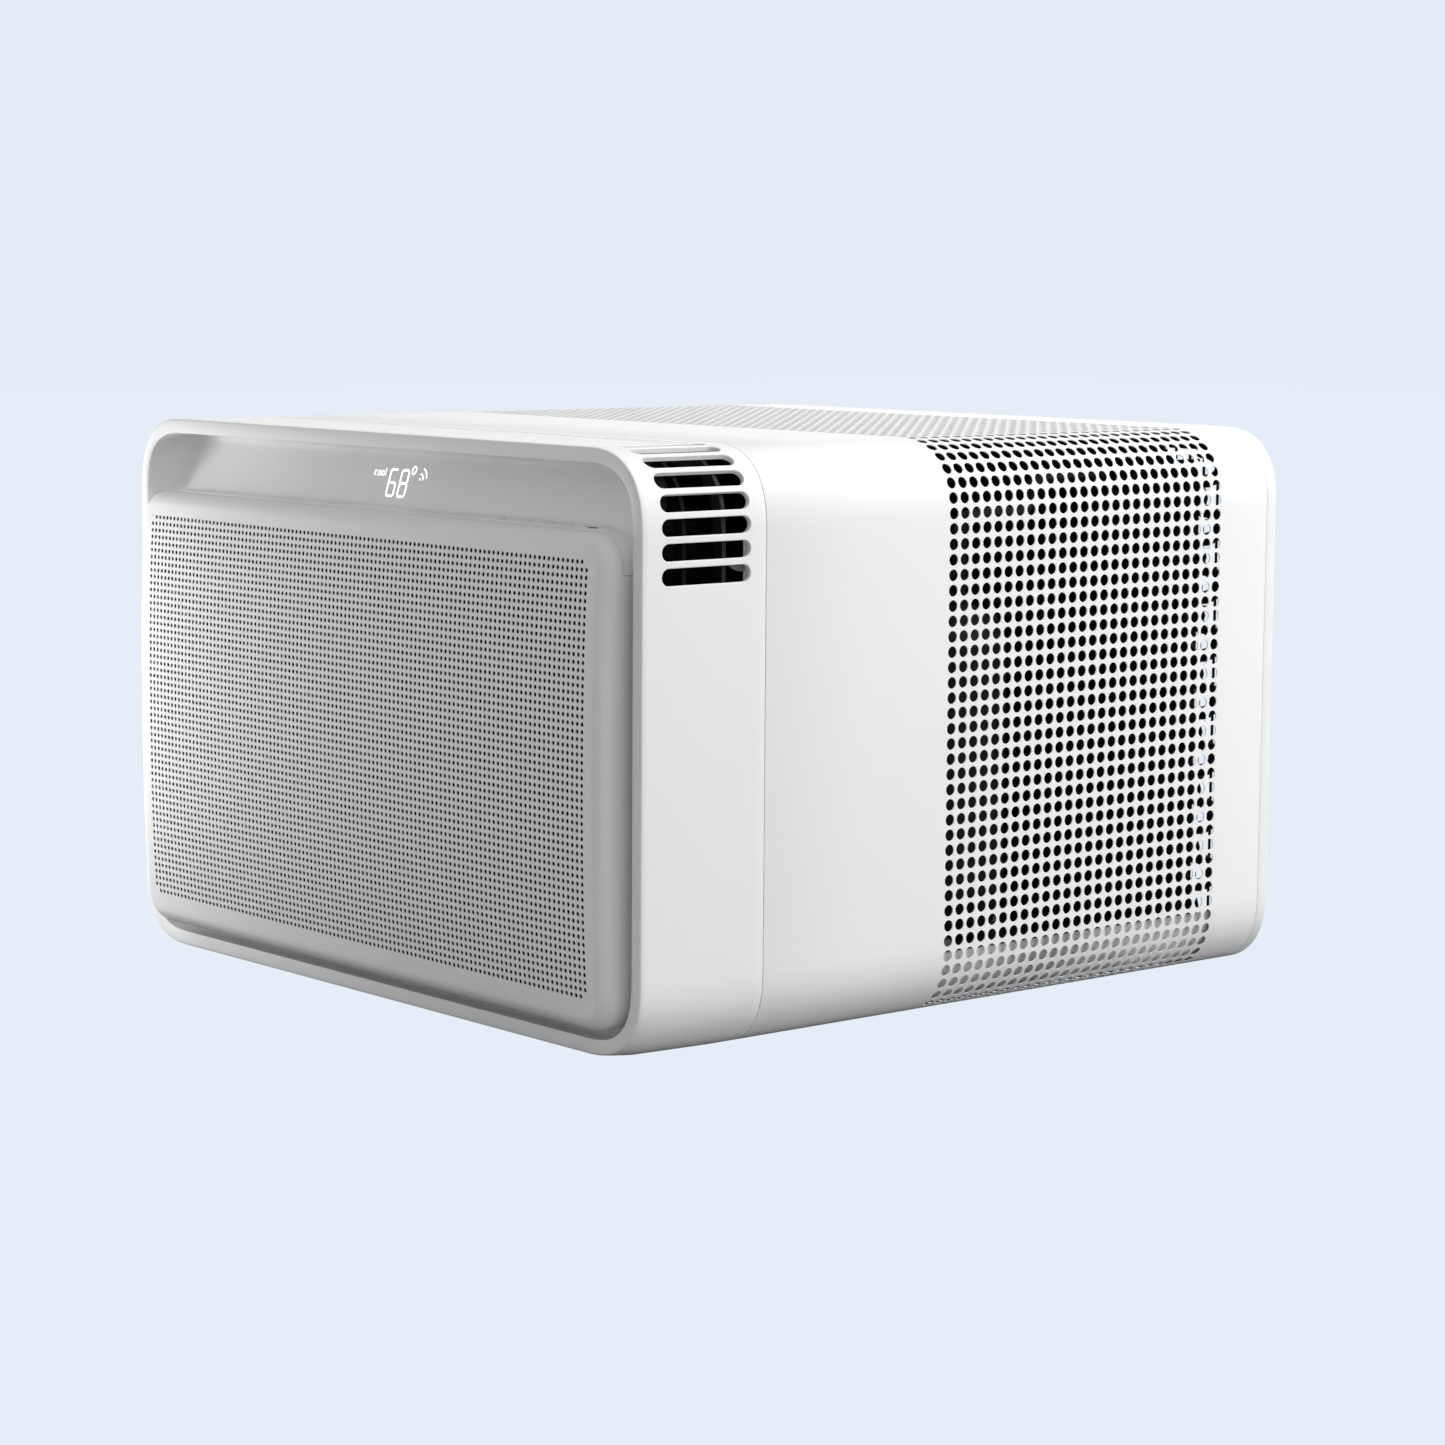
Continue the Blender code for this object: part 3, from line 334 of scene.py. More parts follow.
def vary(nodes, links, factor, shades, positions, gloss):
    """Colour and roughness of the shader, each running between two values with a factor."""
    shader = nodes["Principled BSDF"]
    ramp = nodes.new("ShaderNodeValToRGB")
    for element, colour, position in zip(ramp.color_ramp.elements, shades, positions):
        element.position = position
        element.color = (*colour, 1)
    links.new(factor, ramp.inputs["Fac"])
    links.new(ramp.outputs["Color"], shader.inputs["Base Color"])
    spread = nodes.new("ShaderNodeMapRange")
    spread.inputs["To Min"].default_value, spread.inputs["To Max"].default_value = gloss
    links.new(factor, spread.inputs["Value"])
    links.new(spread.outputs["Result"], shader.inputs["Roughness"])


def moulded(name, colour, roughness, grain=3000.0, bump=0.02, tint=0.03, specular=0.5):
    """A painted, moulded or plated finish: faint cloudy colour, varied gloss and a fine surface grain."""
    made, nodes, links = new_material(name)
    shader = nodes["Principled BSDF"]
    shader.inputs["Specular IOR Level"].default_value = specular
    place = nodes.new("ShaderNodeTexCoord").outputs["Object"]
    cloud = noise(nodes, links, place, 9.0, 3.0)
    shades = [[c * (1 - tint) for c in colour], [min(1.0, c * (1 + tint * 0.3)) for c in colour]]
    vary(nodes, links, cloud, shades, (0.3, 0.7), (roughness - 0.04, roughness + 0.05))
    relief = nodes.new("ShaderNodeBump")
    relief.inputs["Strength"].default_value = 1.0
    relief.inputs["Distance"].default_value = bump * 1e-3
    links.new(noise(nodes, links, place, grain, 2.0), relief.inputs["Height"])
    links.new(relief.outputs["Normal"], shader.inputs["Normal"])
    return made


def brushed(name, colour, roughness, stretch=(1.0, 1.0, 60.0)):
    """Plated or drawn metal with fine marks drawn out along one direction."""
    made, nodes, links = new_material(name)
    nodes["Principled BSDF"].inputs["Metallic"].default_value = 1.0
    scaled = nodes.new("ShaderNodeMapping")
    scaled.inputs["Scale"].default_value = stretch
    links.new(nodes.new("ShaderNodeTexCoord").outputs["Object"], scaled.inputs["Vector"])
    marks = noise(nodes, links, scaled.outputs["Vector"], 40.0, 6.0)
    shades = [[c * 0.82 for c in colour], colour]
    vary(nodes, links, marks, shades, (0, 1), (roughness - 0.08, roughness + 0.12))
    return made


def glowing(name, colour, strength):
    made, nodes, _ = new_material(name)
    shader = nodes["Principled BSDF"]
    shader.inputs["Base Color"].default_value = (*colour, 1)
    shader.inputs["Emission Color"].default_value = (*colour, 1)
    shader.inputs["Emission Strength"].default_value = strength
    shader.inputs["Roughness"].default_value = 0.4
    return made


WHITE_SHELL = moulded("white_shell", (0.86, 0.86, 0.86), 0.55, bump=0.015, tint=0.012)
WHITE_PANEL = moulded("white_panel", (0.84, 0.84, 0.84), 0.60, bump=0.025, tint=0.012)
WHITE_POWDER = moulded("white_powder_coat", (0.87, 0.87, 0.87), 0.50, grain=1500.0, bump=0.02, tint=0.012)
# Black moulding and black paint: real on the fans, shroud, compressor, motor and rear guard, and painted
# shade on the duct, its ribs, the bulkhead, the tubes and the tray's back, for the dark inside of the case.
BLACK_MOULDED_AND_SHADE = moulded("black_moulded_and_shade", (0.004, 0.004, 0.005), 0.75, grain=2500.0, tint=0.3, specular=0.08)
BLACK_PAINT_AND_SHADE = moulded("black_paint_and_shade", (0.007, 0.007, 0.008), 0.55, grain=1500.0, tint=0.3, specular=0.2)
# The condenser's near-black fin colour is painted shade for the dark inside of the case.
SHADE_DARK_FIN = moulded("painted_shade_fin", (0.020, 0.021, 0.023), 0.6, grain=1200.0, tint=0.3, specular=0.2)
FIN_METAL = brushed("fin_aluminium", (0.80, 0.81, 0.82), 0.38)
ZINC = brushed("zinc_plate", (0.52, 0.53, 0.54), 0.42, (1.0, 8.0, 1.0))
GALVANISED = moulded("galvanised_pan", (0.82, 0.82, 0.83), 0.45, grain=900.0, tint=0.6)
COPPER = brushed("copper_tube", (0.78, 0.42, 0.25), 0.30)
RUBBER = moulded("soft_rubber", (0.018, 0.018, 0.018), 0.8, grain=1800.0, tint=0.3, specular=0.2)
GREEN_BOARD = moulded("green_board", (0.015, 0.10, 0.04), 0.45, grain=900.0, tint=0.3)
SMOKED = moulded("smoked_window", (0.004, 0.004, 0.005), 0.3, bump=0.0, tint=0.1, specular=0.1)
CLOTH = moulded("filter_cloth", (0.03, 0.03, 0.032), 0.9, grain=2200.0, bump=0.2, tint=0.3, specular=0.1)
SHADE_GREY = moulded("painted_shade_grey", (0.2, 0.2, 0.2), 0.9, grain=2200.0, bump=0.2, tint=0.2, specular=0.1)
LIT_SIGN = glowing("lit_sign", (0.95, 0.97, 1.0), 1.7)
DARK_DOT = moulded("dark_dot", (0.05, 0.05, 0.05), 0.5, bump=0.0)

# ---- front shell: rim, wrapped skin and outlet slots -----------------
SLOT_ZONE = (0.0085, 0.0818)        # depths between which the skin is cut into slot cells


def slot_template():
    """Matching rings, as (along the case, depth), for a slot's edge and the edge of its cell."""
    half = SLOT_HEIGHT / 2
    half_cell = SLOT_PITCH / 2
    hole, cell = [], []
    for end, limit in ((SLOT_FRONT + half, SLOT_ZONE[0]), (SLOT_BACK - half, SLOT_ZONE[1])):
        outward = -1 if limit < end else 1
        outer = [(half_cell, end), (half_cell, (end + limit) / 2), (half_cell, limit)]
        outer += [(half_cell * 0.45, limit), (0.0, limit)]
        outer += [(-a, d) for a, d in reversed(outer[:-1])]
        inner = []
        for step in range(9):
            angle = math.pi / 2 * (1 - step / 4)
            inner.append((half * math.sin(angle), end + outward * half * math.cos(angle)))
        if outward > 0:
            inner.reverse()
            outer.reverse()
        hole += inner
        cell += outer
    return np.array(hole), np.array(cell)


shell = Sheet()
slot_hole, slot_cell = slot_template()
centres = np.arange(-SLOTS_EACH_SIDE, SLOTS_EACH_SIDE + 1) * SLOT_PITCH
EDGE_ROUND = 0.0004


def slot_layer(template, inset):
    return case_point(centres[:, None] + template[:, 0], template[:, 1][None, :], inset)


def inner_slot(amount):
    """The slot's edge drawn in by this amount, for the small round where it meets the skin."""
    half = SLOT_HEIGHT / 2
    middle = (SLOT_FRONT + SLOT_BACK) / 2
    reach = (SLOT_BACK - SLOT_FRONT) / 2 - half
    spine = np.clip(slot_hole[:, 1], middle - reach, middle + reach)
    core = np.stack([np.zeros(len(spine)), spine], axis=1)
    return core + (slot_hole - core) * (1 - amount / half)


slot_layers = [(slot_cell, 0.0), (slot_hole, 0.0)]
slot_layers += [(inner_slot(amount), amount) for amount in (EDGE_ROUND * 0.3, EDGE_ROUND)]
slot_layers += [(inner_slot(EDGE_ROUND), SHELL_WALL), (slot_cell, SHELL_WALL)]
shell.rings([slot_layer(template, inset) for template, inset in slot_layers])

cell_steps = np.array([-0.5, -0.225, 0.0, 0.225]) * SLOT_PITCH
slot_run = (centres[:, None] + cell_steps).reshape(-1)
slot_limit = centres[-1] + SLOT_PITCH / 2
low_corner = CASE.length / 2 - CASE.corner_end
corner_foot = CASE.length / 2 - CASE.corner_start
below = np.concatenate([
    np.linspace(slot_limit, low_corner, 9)[:-1],
    np.linspace(low_corner, corner_foot, 25)[:-1],
    np.linspace(corner_foot, CASE.length / 2, 7),
])
below_all = np.concatenate([below, CASE.length - below[::-1][1:]])
whole_run = np.concatenate([slot_run, below_all[:-1]])


def skin_rows(run, rows):
    """Points for rows of (depth, inset), where inset may be a function of the distance round."""
    layers = []
    for depth, inset in rows:
        amount = inset(run) if callable(inset) else inset
        layers.append(case_point(run, depth, amount))
    return np.stack(layers)


def rim(extra):
    return lambda run: rim_width(run) + extra


def rounded_end(depth, onward):
    """Rows over the small round at a skin's end, onward being +1 where the skin runs on backward."""
    return [(depth, 0.0005), (depth + onward * 0.00012, 0.00012), (depth + onward * 0.0005, 0.0)]


front_rows = [
    (RIM_BACK, rim(-0.0004)),
    (RIM_BACK, rim(0.0)),
    (0.0010, rim(0.0)),
    (0.0003, rim(-0.0002)),
    (0.0, rim(-0.0008)),
    (0.0, 0.0011),
    (0.00012, 0.0006),
    (0.0004, 0.0002),
    (0.0009, 0.0),
    (0.0045, 0.0),
    (SLOT_ZONE[0], 0.0),
]
back_rows = [(SLOT_ZONE[1], 0.0), *rounded_end(SHELL_DEPTH, -1)[::-1]]
back_rows += [(SHELL_DEPTH, SHELL_WALL), (SLOT_ZONE[1], SHELL_WALL)]
inner_rows = [(SLOT_ZONE[0], SHELL_WALL), (RIM_BACK, SHELL_WALL), (RIM_BACK, rim(-0.0004))]
for rows in (front_rows, back_rows, inner_rows):
    shell.grid(skin_rows(whole_run, rows), wrap=True)
front_end = SLOT_FRONT + SLOT_HEIGHT / 2
back_end = SLOT_BACK - SLOT_HEIGHT / 2
slot_edge_depths = [SLOT_ZONE[0], (front_end + SLOT_ZONE[0]) / 2, front_end]
slot_edge_depths += [back_end, (back_end + SLOT_ZONE[1]) / 2, SLOT_ZONE[1]]
for inset in (0.0, SHELL_WALL):
    shell.grid(skin_rows(below_all, [(depth, inset) for depth in slot_edge_depths]))
shell_mesh = shell.mesh("front_shell_skin")
make_object("front_shell_skin", shell_mesh, WHITE_SHELL, replaces=["front_shell"], sharp=40)

# ---- cabinet sleeve: perforated band between plain ends --------------
ROUND_STEPS = 12
ring_angles = np.radians(15 + 360 / ROUND_STEPS * np.arange(ROUND_STEPS))
unit_ring = np.stack([np.cos(ring_angles), np.sin(ring_angles)], axis=1)
unit_square = unit_ring / np.abs(unit_ring).max(axis=1, keepdims=True)

HOLE_ROWS = 183                     # rows of holes all the way round the case
ROW_STEP = CASE.length / HOLE_ROWS
BAND_START = FIRST_HOLE - HOLE_PITCH / 2
BAND_END = BAND_START + HOLE_COLUMNS * HOLE_PITCH


def sleeve_half(name, first_row, row_count):
    """Part of the sleeve covering these rows of holes, as one closed skin with thickness."""
    sheet = Sheet()
    rows = (first_row + 0.5 + np.arange(row_count)) * ROW_STEP
    columns = FIRST_HOLE + HOLE_PITCH * np.arange(HOLE_COLUMNS)
    along, depth = np.meshgrid(rows, columns, indexing="ij")

    def layer(template, inset):
        return case_point(along[..., None] + template[:, 0], depth[..., None] + template[:, 1], inset)

    hole = unit_ring * HOLE_RADIUS
    cell = unit_square * [ROW_STEP / 2, HOLE_PITCH / 2]
    sheet.rings([layer(cell, 0.0), layer(hole, 0.0), layer(hole, SLEEVE_WALL), layer(cell, SLEEVE_WALL)])
    edge_steps = np.array([-1.0, -math.tan(math.radians(15)), math.tan(math.radians(15))]) / 2
    run = (rows[:, None] + edge_steps * ROW_STEP).reshape(-1)
    run = np.append(run, rows[-1] + ROW_STEP / 2)
    front = [(BAND_START, SLEEVE_WALL), (SLEEVE_START, SLEEVE_WALL), *rounded_end(SLEEVE_START, 1)]
    front += [(0.160, 0.0), (BAND_START, 0.0)]
    rear = [(BAND_END, 0.0), *rounded_end(SLEEVE_END, -1)[::-1]]
    rear += [(SLEEVE_END, SLEEVE_WALL), (BAND_END, SLEEVE_WALL)]
    sheet.grid(skin_rows(run, front))
    sheet.grid(skin_rows(run, rear))
    make_object(name, sheet.mesh(name), WHITE_POWDER, sharp=40, replaces=["cabinet_sleeve"])


UPPER_ROWS = 45
sleeve_half("sleeve_upper", -UPPER_ROWS, 2 * UPPER_ROWS)
sleeve_half("sleeve_lower", UPPER_ROWS, HOLE_ROWS - 2 * UPPER_ROWS)

# ---- rear frame ------------------------------------------------------
rear = Sheet()
rear_rows = [
    (REAR_START, 0.0022),
    *rounded_end(REAR_START, 1),
    (0.5085, 0.0),
    (0.5094, 0.0003),
    (0.5099, 0.0010),
    (CASE_DEPTH, 0.0020),
    (CASE_DEPTH, 0.0125),
    (0.5096, 0.0136),
    (0.5086, 0.0140),
    (0.5050, 0.0140),
    (0.5050, 0.0036),
    (0.4900, 0.0036),
    (0.4900, 0.0022),
    (REAR_START, 0.0022),
]
rear.grid(skin_rows(whole_run, rear_rows), wrap=True)
make_object("rear_frame_ring", rear.mesh("rear_frame_ring"), WHITE_SHELL, replaces=["rear_frame"], sharp=40)


# ---- intake panel: crowned skin with a fine grid of holes ------------
def panel_depth(x, z):
    rise = z - PANEL_MIDDLE
    fall = PANEL_CROWN_UP[0] * rise**2 + PANEL_CROWN_UP[1] * rise**4
    return -PANEL_PROUD + fall + PANEL_CROWN_ACROSS * x**2


def grille_half(name, first, count):
    """Columns of the hole grid, on the crowned face, with the skin's thickness behind it."""
    sheet = Sheet()
    angles = np.radians(45 * np.arange(8))
    ring = np.stack([np.cos(angles), np.sin(angles)], axis=1)
    square = ring / np.abs(ring).max(axis=1, keepdims=True)
    columns = (first + np.arange(count) - (GRILLE_COLUMNS - 1) / 2) * GRILLE_PITCH
    rows = (np.arange(GRILLE_ROWS) - (GRILLE_ROWS - 1) / 2) * GRILLE_PITCH + GRILLE_MIDDLE
    across, up = np.meshgrid(columns, rows, indexing="ij")
    column_number = np.arange(first, first + count)[:, None]
    row_number = np.arange(GRILLE_ROWS)[None, :]
    at_side = (column_number == 0) | (column_number == GRILLE_COLUMNS - 1)
    at_end = (row_number == 0) | (row_number == GRILLE_ROWS - 1)
    pierced = ~(at_side & at_end)

    def layer(template, inset, keep):
        x = across[keep][:, None] + template[:, 0]
        z = up[keep][:, None] + template[:, 1]
        return np.stack([x, back(panel_depth(x, z) + inset), z], axis=-1)

    hole = ring * GRILLE_RADIUS
    cell = square * GRILLE_PITCH / 2
    front, rear = 0.0, GRILLE_SKIN
    order = ((cell, front), (hole, front), (hole, rear), (cell, rear))
    sheet.rings([layer(template, inset, pierced) for template, inset in order])
    for inset in (front, rear):
        ids = sheet.add(layer(cell, inset, ~pierced))
        middle = np.broadcast_to(sheet.add(layer(cell * 0, inset, ~pierced))[:, :1], ids.shape)
        sheet.faces.append(np.stack([ids, np.roll(ids, -1, axis=1), middle], axis=-1).reshape(-1, 3))
    return sheet


def panel_section(inset):
    bottom, top = PANEL_BOTTOM + inset, PANEL_TOP - inset
    return Section(PANEL_HALF_WIDTH - inset, bottom, top, PANEL_CORNER - inset, 2.3, 301)


def matched_section(section, fractions):
    """Points round a section at corners and sides matched by fraction of each stretch."""
    stops = [0.0, section.corner_start, section.corner_end]
    half = section.length / 2
    stops += [half - section.corner_end, half - section.corner_start, half]
    stops += [section.length - stop for stop in stops[-2::-1]]
    distances = []
    for number, ((near, far), count) in enumerate(zip(zip(stops, stops[1:]), fractions)):
        shares = np.linspace(0, 1, count + 1)
        if number == 2:
            shares[1:3] = SKIRT_STEP
        if number == 7:
            shares[-3:-1] = 1 - np.array(SKIRT_STEP[::-1])
        distances += list(near + (far - near) * shares[:-1])
    place, normal = section.read(np.array(distances))
    return place, normal


FIELD_X = GRILLE_COLUMNS * GRILLE_PITCH / 2
FIELD_LOW = GRILLE_MIDDLE - GRILLE_ROWS * GRILLE_PITCH / 2
FIELD_HIGH = GRILLE_MIDDLE + GRILLE_ROWS * GRILLE_PITCH / 2
SIDE_COUNTS = (24, 12, 26, 12, 24, 24, 12, 26, 12, 24)
SKIRT_STEP = (0.004, 0.0045)        # shares of a side between which the skirt steps forward of the shelf


def field_ring():
    """The hole field's own edge, sampled to match the panel's outline."""
    corners = [(0.0, FIELD_HIGH), (FIELD_X - 0.004, FIELD_HIGH), (FIELD_X, FIELD_HIGH - 0.004)]
    corners += [(FIELD_X, FIELD_LOW + 0.004), (FIELD_X - 0.004, FIELD_LOW), (0.0, FIELD_LOW)]
    corners += [(-x, z) for x, z in reversed(corners[:-1])]
    points = []
    for (near, far), count in zip(zip(corners, corners[1:]), SIDE_COUNTS):
        for step in range(count):
            t = step / count
            points.append((near[0] + (far[0] - near[0]) * t, near[1] + (far[1] - near[1]) * t))
    return np.array(points)


def border_rows():
    """Rings of the panel's border, from the hole field out over the rounded edge and back inside."""
    rows = []
    field = field_ring()
    flat, _ = matched_section(panel_section(PANEL_EDGE), SIDE_COUNTS)
    for t in (0.0, 0.5, 1.0):
        ring = field * (1 - t) + flat * t
        rows.append((ring, panel_depth(ring[:, 0], ring[:, 1])))
    for step in range(1, 9):
        angle = math.pi / 2 * step / 8
        inset = PANEL_EDGE * (1 - math.sin(angle))
        drop = PANEL_EDGE * (1 - math.cos(angle))
        ring, _ = matched_section(panel_section(inset), SIDE_COUNTS)
        rows.append((ring, panel_depth(flat[:, 0], flat[:, 1]) + drop))
    outer, _ = matched_section(panel_section(0.0), SIDE_COUNTS)
    step_z = PANEL_TOP - PANEL_CORNER - SKIRT_STEP[0] * (PANEL_TOP - PANEL_BOTTOM - 2 * PANEL_CORNER)
    skirt = np.where(outer[:, 1] > step_z - 0.00005, PANEL_LIP, PANEL_SKIRT)
    bevel = np.where(skirt > 0.001, 0.0005, 0.00005)
    edge, _ = matched_section(panel_section(0.0004), SIDE_COUNTS)
    edge = outer + (edge - outer) * (bevel / 0.0005)[:, None]
    rows.append((outer, skirt - bevel))
    rows.append((edge, skirt))
    inner, _ = matched_section(panel_section(0.0022), SIDE_COUNTS)
    rows.append((inner, skirt))
    rows.append((inner, panel_depth(inner[:, 0], inner[:, 1]) + PANEL_EDGE * 0.8))
    inside, _ = matched_section(panel_section(PANEL_EDGE), SIDE_COUNTS)
    rows.append((inside, panel_depth(inside[:, 0], inside[:, 1]) + 0.0022))
    rows.append((field, panel_depth(field[:, 0], field[:, 1]) + GRILLE_SKIN))
    return np.stack([np.stack([ring[:, 0], back(depth), ring[:, 1]], axis=-1) for ring, depth in rows])


LEFT_COLUMNS = 54
grille_halves = (("intake_grille_left", 0, LEFT_COLUMNS), ("intake_grille_right", LEFT_COLUMNS, 53))
for name, first, count in grille_halves:
    half_sheet = grille_half(name, first, count)
    make_object(name, half_sheet.mesh(name), WHITE_PANEL, "intake_panel_body", ["intake_panel"], sharp=40)
border = Sheet()
border.grid(border_rows(), wrap=True)
border_mesh = border.mesh("intake_border")
make_object("intake_border", border_mesh, WHITE_PANEL, "intake_panel_body", ["intake_panel"], sharp=50)

# ---- recess tray: walls, coves, display fascia and the plate behind the panel
TRAY_SKIN = 0.0018
PLATE_DEPTH = 0.0168
STEP_Z = 0.2840                     # the fascia and its coves end here, out of sight behind the panel


def fascia_depth(z):
    return FASCIA_FOOT + np.maximum(z - 0.296, -0.0025) * FASCIA_SLOPE


def tray_run():
    """Distances round the opening, and a flag for those above the shelf."""
    finer = np.linspace(-0.315, 0.315, 2521)
    height = case_point(finer, RIM_BACK, rim_width(finer))[:, 2]
    edge = float(np.interp(-STEP_Z, -height[1260:], finer[1260:]))
    top = [np.linspace(0, CASE.corner_start, 20)[:-1], np.linspace(CASE.corner_start, edge, 40)]
    upper = np.concatenate(top)
    upper = np.concatenate([-upper[::-1][:-1], upper])
    lower = np.concatenate([[edge], below_all[below_all > edge + 0.002]])
    lower = lower[lower < CASE.length - edge - 0.002]
    lower = np.append(lower, CASE.length - edge)
    return np.concatenate([upper, lower]), np.arange(len(upper) + len(lower)) < len(upper)


tray_distance, tray_upper = tray_run()


def tray_row(extra, floor_offset, fixed_depth=None):
    """One ring of the tray: inset past the rim by extra, at its floor's depth plus an offset."""
    inset = rim_width(tray_distance) + extra
    if fixed_depth is not None:
        return case_point(tray_distance, fixed_depth, inset)
    wall = case_point(tray_distance, RIM_BACK, inset)
    floor = np.where(tray_upper, fascia_depth(wall[:, 2]), PLATE_DEPTH)
    wall[:, 1] = back(floor + floor_offset)
    return wall


tray = Sheet()
tray_rows = [tray_row(0.0, 0.0, RIM_BACK)]
for step in range(9):
    angle = math.pi / 2 * step / 8
    tray_rows.append(tray_row(COVE * (1 - math.cos(angle)), COVE * (math.sin(angle) - 1)))
tray_rows.append(tray_row(COVE + 0.0012, 0.0))
front_ids = tray.grid(np.stack(tray_rows), wrap=True)
inner_upper = front_ids[-1][tray_upper]
reach = len(inner_upper) // 2
left_ids, right_ids = inner_upper[:reach][::-1], inner_upper[-reach:]
tray.faces.append(np.stack([left_ids[:-1], right_ids[:-1], right_ids[1:], left_ids[1:]], axis=-1))
tray.faces.append(np.array([[left_ids[0], inner_upper[reach], right_ids[0]]]))
ledge_row = tray_row(COVE + 0.0012, 0.0)[tray_upper][[-1, 0]]
under_row = ledge_row.copy()
under_row[:, 1] = back(PLATE_DEPTH)
tray.grid(np.stack([ledge_row, under_row]))
tray_mesh = tray.mesh("recess_tray_skin")
make_object("recess_tray_skin", tray_mesh, WHITE_SHELL, replaces=["recess_tray"], sharp=40)
# The tray's hidden back is black as painted shade for the dark space seen through the slots.
tray_back = Sheet()
hidden_rows = [tray_row(COVE + 0.0012, TRAY_SKIN), tray_row(-TRAY_SKIN, TRAY_SKIN)]
hidden_rows.append(tray_row(-TRAY_SKIN, 0.0, RIM_BACK))
tray_back.grid(np.stack(hidden_rows), wrap=True)
make_object("recess_tray_back", tray_back.mesh("recess_tray_back"), BLACK_MOULDED_AND_SHADE, sharp=40)


# ---- shelf with its buttons and sensor -------------------------------
def rounded_plan(x0, x1, y0, y1, radius, steps=5):
    """Corners of a rounded rectangle seen from above."""
    points = []
    for cx, cy, start in ((x1 - radius, y1 - radius, 0), (x0 + radius, y1 - radius, 90),
                          (x0 + radius, y0 + radius, 180), (x1 - radius, y0 + radius, 270)):
        for step in range(steps + 1):
            angle = math.radians(start + 90 * step / steps)
            points.append((cx + radius * math.cos(angle), cy + radius * math.sin(angle)))
    return points


def plate_mesh(name, plan, layers):
    """A solid over a plan outline. Each layer is (inset, z)."""
    middle = (sum(x for x, _ in plan) / len(plan), sum(y for _, y in plan) / len(plan))
    half = (max(abs(x - middle[0]) for x, _ in plan), max(abs(y - middle[1]) for _, y in plan))
    loops = []
    for inset, z in layers:
        shrink = [1 - inset / half[axis] for axis in (0, 1)]
        loop = []
        for x, y in plan:
            across = middle[0] + (x - middle[0]) * shrink[0]
            loop.append((across, middle[1] + (y - middle[1]) * shrink[1], z))
        loops.append(loop)
    return capped_mesh(name, loops)


def cap_mesh(name, low, high):
    """A shelf button's or lens's cap filling its box, with a softened top edge."""
    plan = rounded_plan(low.x, high.x, low.y, high.y, 0.0014)
    layers = [(0, low.z), (0, high.z - 0.0003), (0.0001, high.z - 0.0001), (0.0004, high.z)]
    return plate_mesh(name, plan, layers)


SHELF_FLAT_X = 0.2130               # past this the shelf falls to the panel's own outline


def shelf_outlines(spread):
    """Outer and inner half outline of the shelf's arch, its corner drawn out sideways by spread."""
    found = []
    for inset in (0.0, 0.003):
        side = PANEL_HALF_WIDTH - inset
        section = Section(side, PANEL_BOTTOM, SHELF_TOP - inset, PANEL_CORNER - inset, 2.3, 301)
        run = np.linspace(section.corner_start - 0.006, section.corner_end + ARCH_OVERLAP, 22)
        outline = section.read(np.concatenate([[0], run]))[0]
        outline[1:, 0] = side - (side - outline[1:, 0]) * spread
        share = np.clip((outline[:, 0] - SHELF_FLAT_X) / 0.010, 0, 1)
        outline[:, 1] -= (SHELF_TOP - PANEL_TOP) * share * share * (3 - 2 * share)
        found.append(outline)
    return found


def shelf_row(depth, spread, shrink=0.0):
    outer, inner = shelf_outlines(spread)
    fade = np.linspace(0, 1, len(outer))
    outer = outer - shrink * np.stack([fade, fade[::-1]], 1)
    whole = np.concatenate([outer[::-1] * [-1, 1], outer[1:], inner[::-1], inner[1:] * [-1, 1]])
    return np.stack([whole[:, 0], np.full(len(whole), back(depth)), whole[:, 1]], axis=-1)


SHELF_FRONT = 0.0003
SHELF_END = FASCIA_FOOT - 0.0010
ARCH_OVERLAP = 0.0006               # how far the arch reaches below the panel's corner
REAR_SPREAD = 1.75                  # the arch's corner is this much wider where it meets the fascia
shelf_rows = [shelf_row(SHELF_FRONT, 1.0, 0.00005)]
for step in range(7):
    share = step / 6
    depth = SHELF_FRONT + 0.00005 + (SHELF_END - SHELF_FRONT) * share
    shelf_rows.append(shelf_row(depth, 1.0 + (REAR_SPREAD - 1.0) * share**1.3))
shelf = Sheet()
shelf_ids = shelf.grid(np.stack(shelf_rows), wrap=True)
shelf.faces.append(shelf_ids[:1])
shelf.faces.append(shelf_ids[-1:])

button_boxes = [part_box(f"button_{number}") for number in range(1, 6)]
sensor_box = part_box("sensor_window")
POCKET_CLEARANCE = 0.0003
pockets = []
for low, high in button_boxes + [sensor_box]:
    c = POCKET_CLEARANCE
    plan = rounded_plan(low.x - c, high.x + c, low.y - c, high.y + c, 0.0016)
    pockets.append(helper(plate_mesh("pocket", plan, [(0, SHELF_TOP - 0.005), (0, SHELF_TOP + 0.002)])))
shelf_mesh = carved(shelf.mesh("button_shelf"), pockets)
make_object("button_shelf", shelf_mesh, WHITE_SHELL, sharp=30, replaces=["recess_tray"])

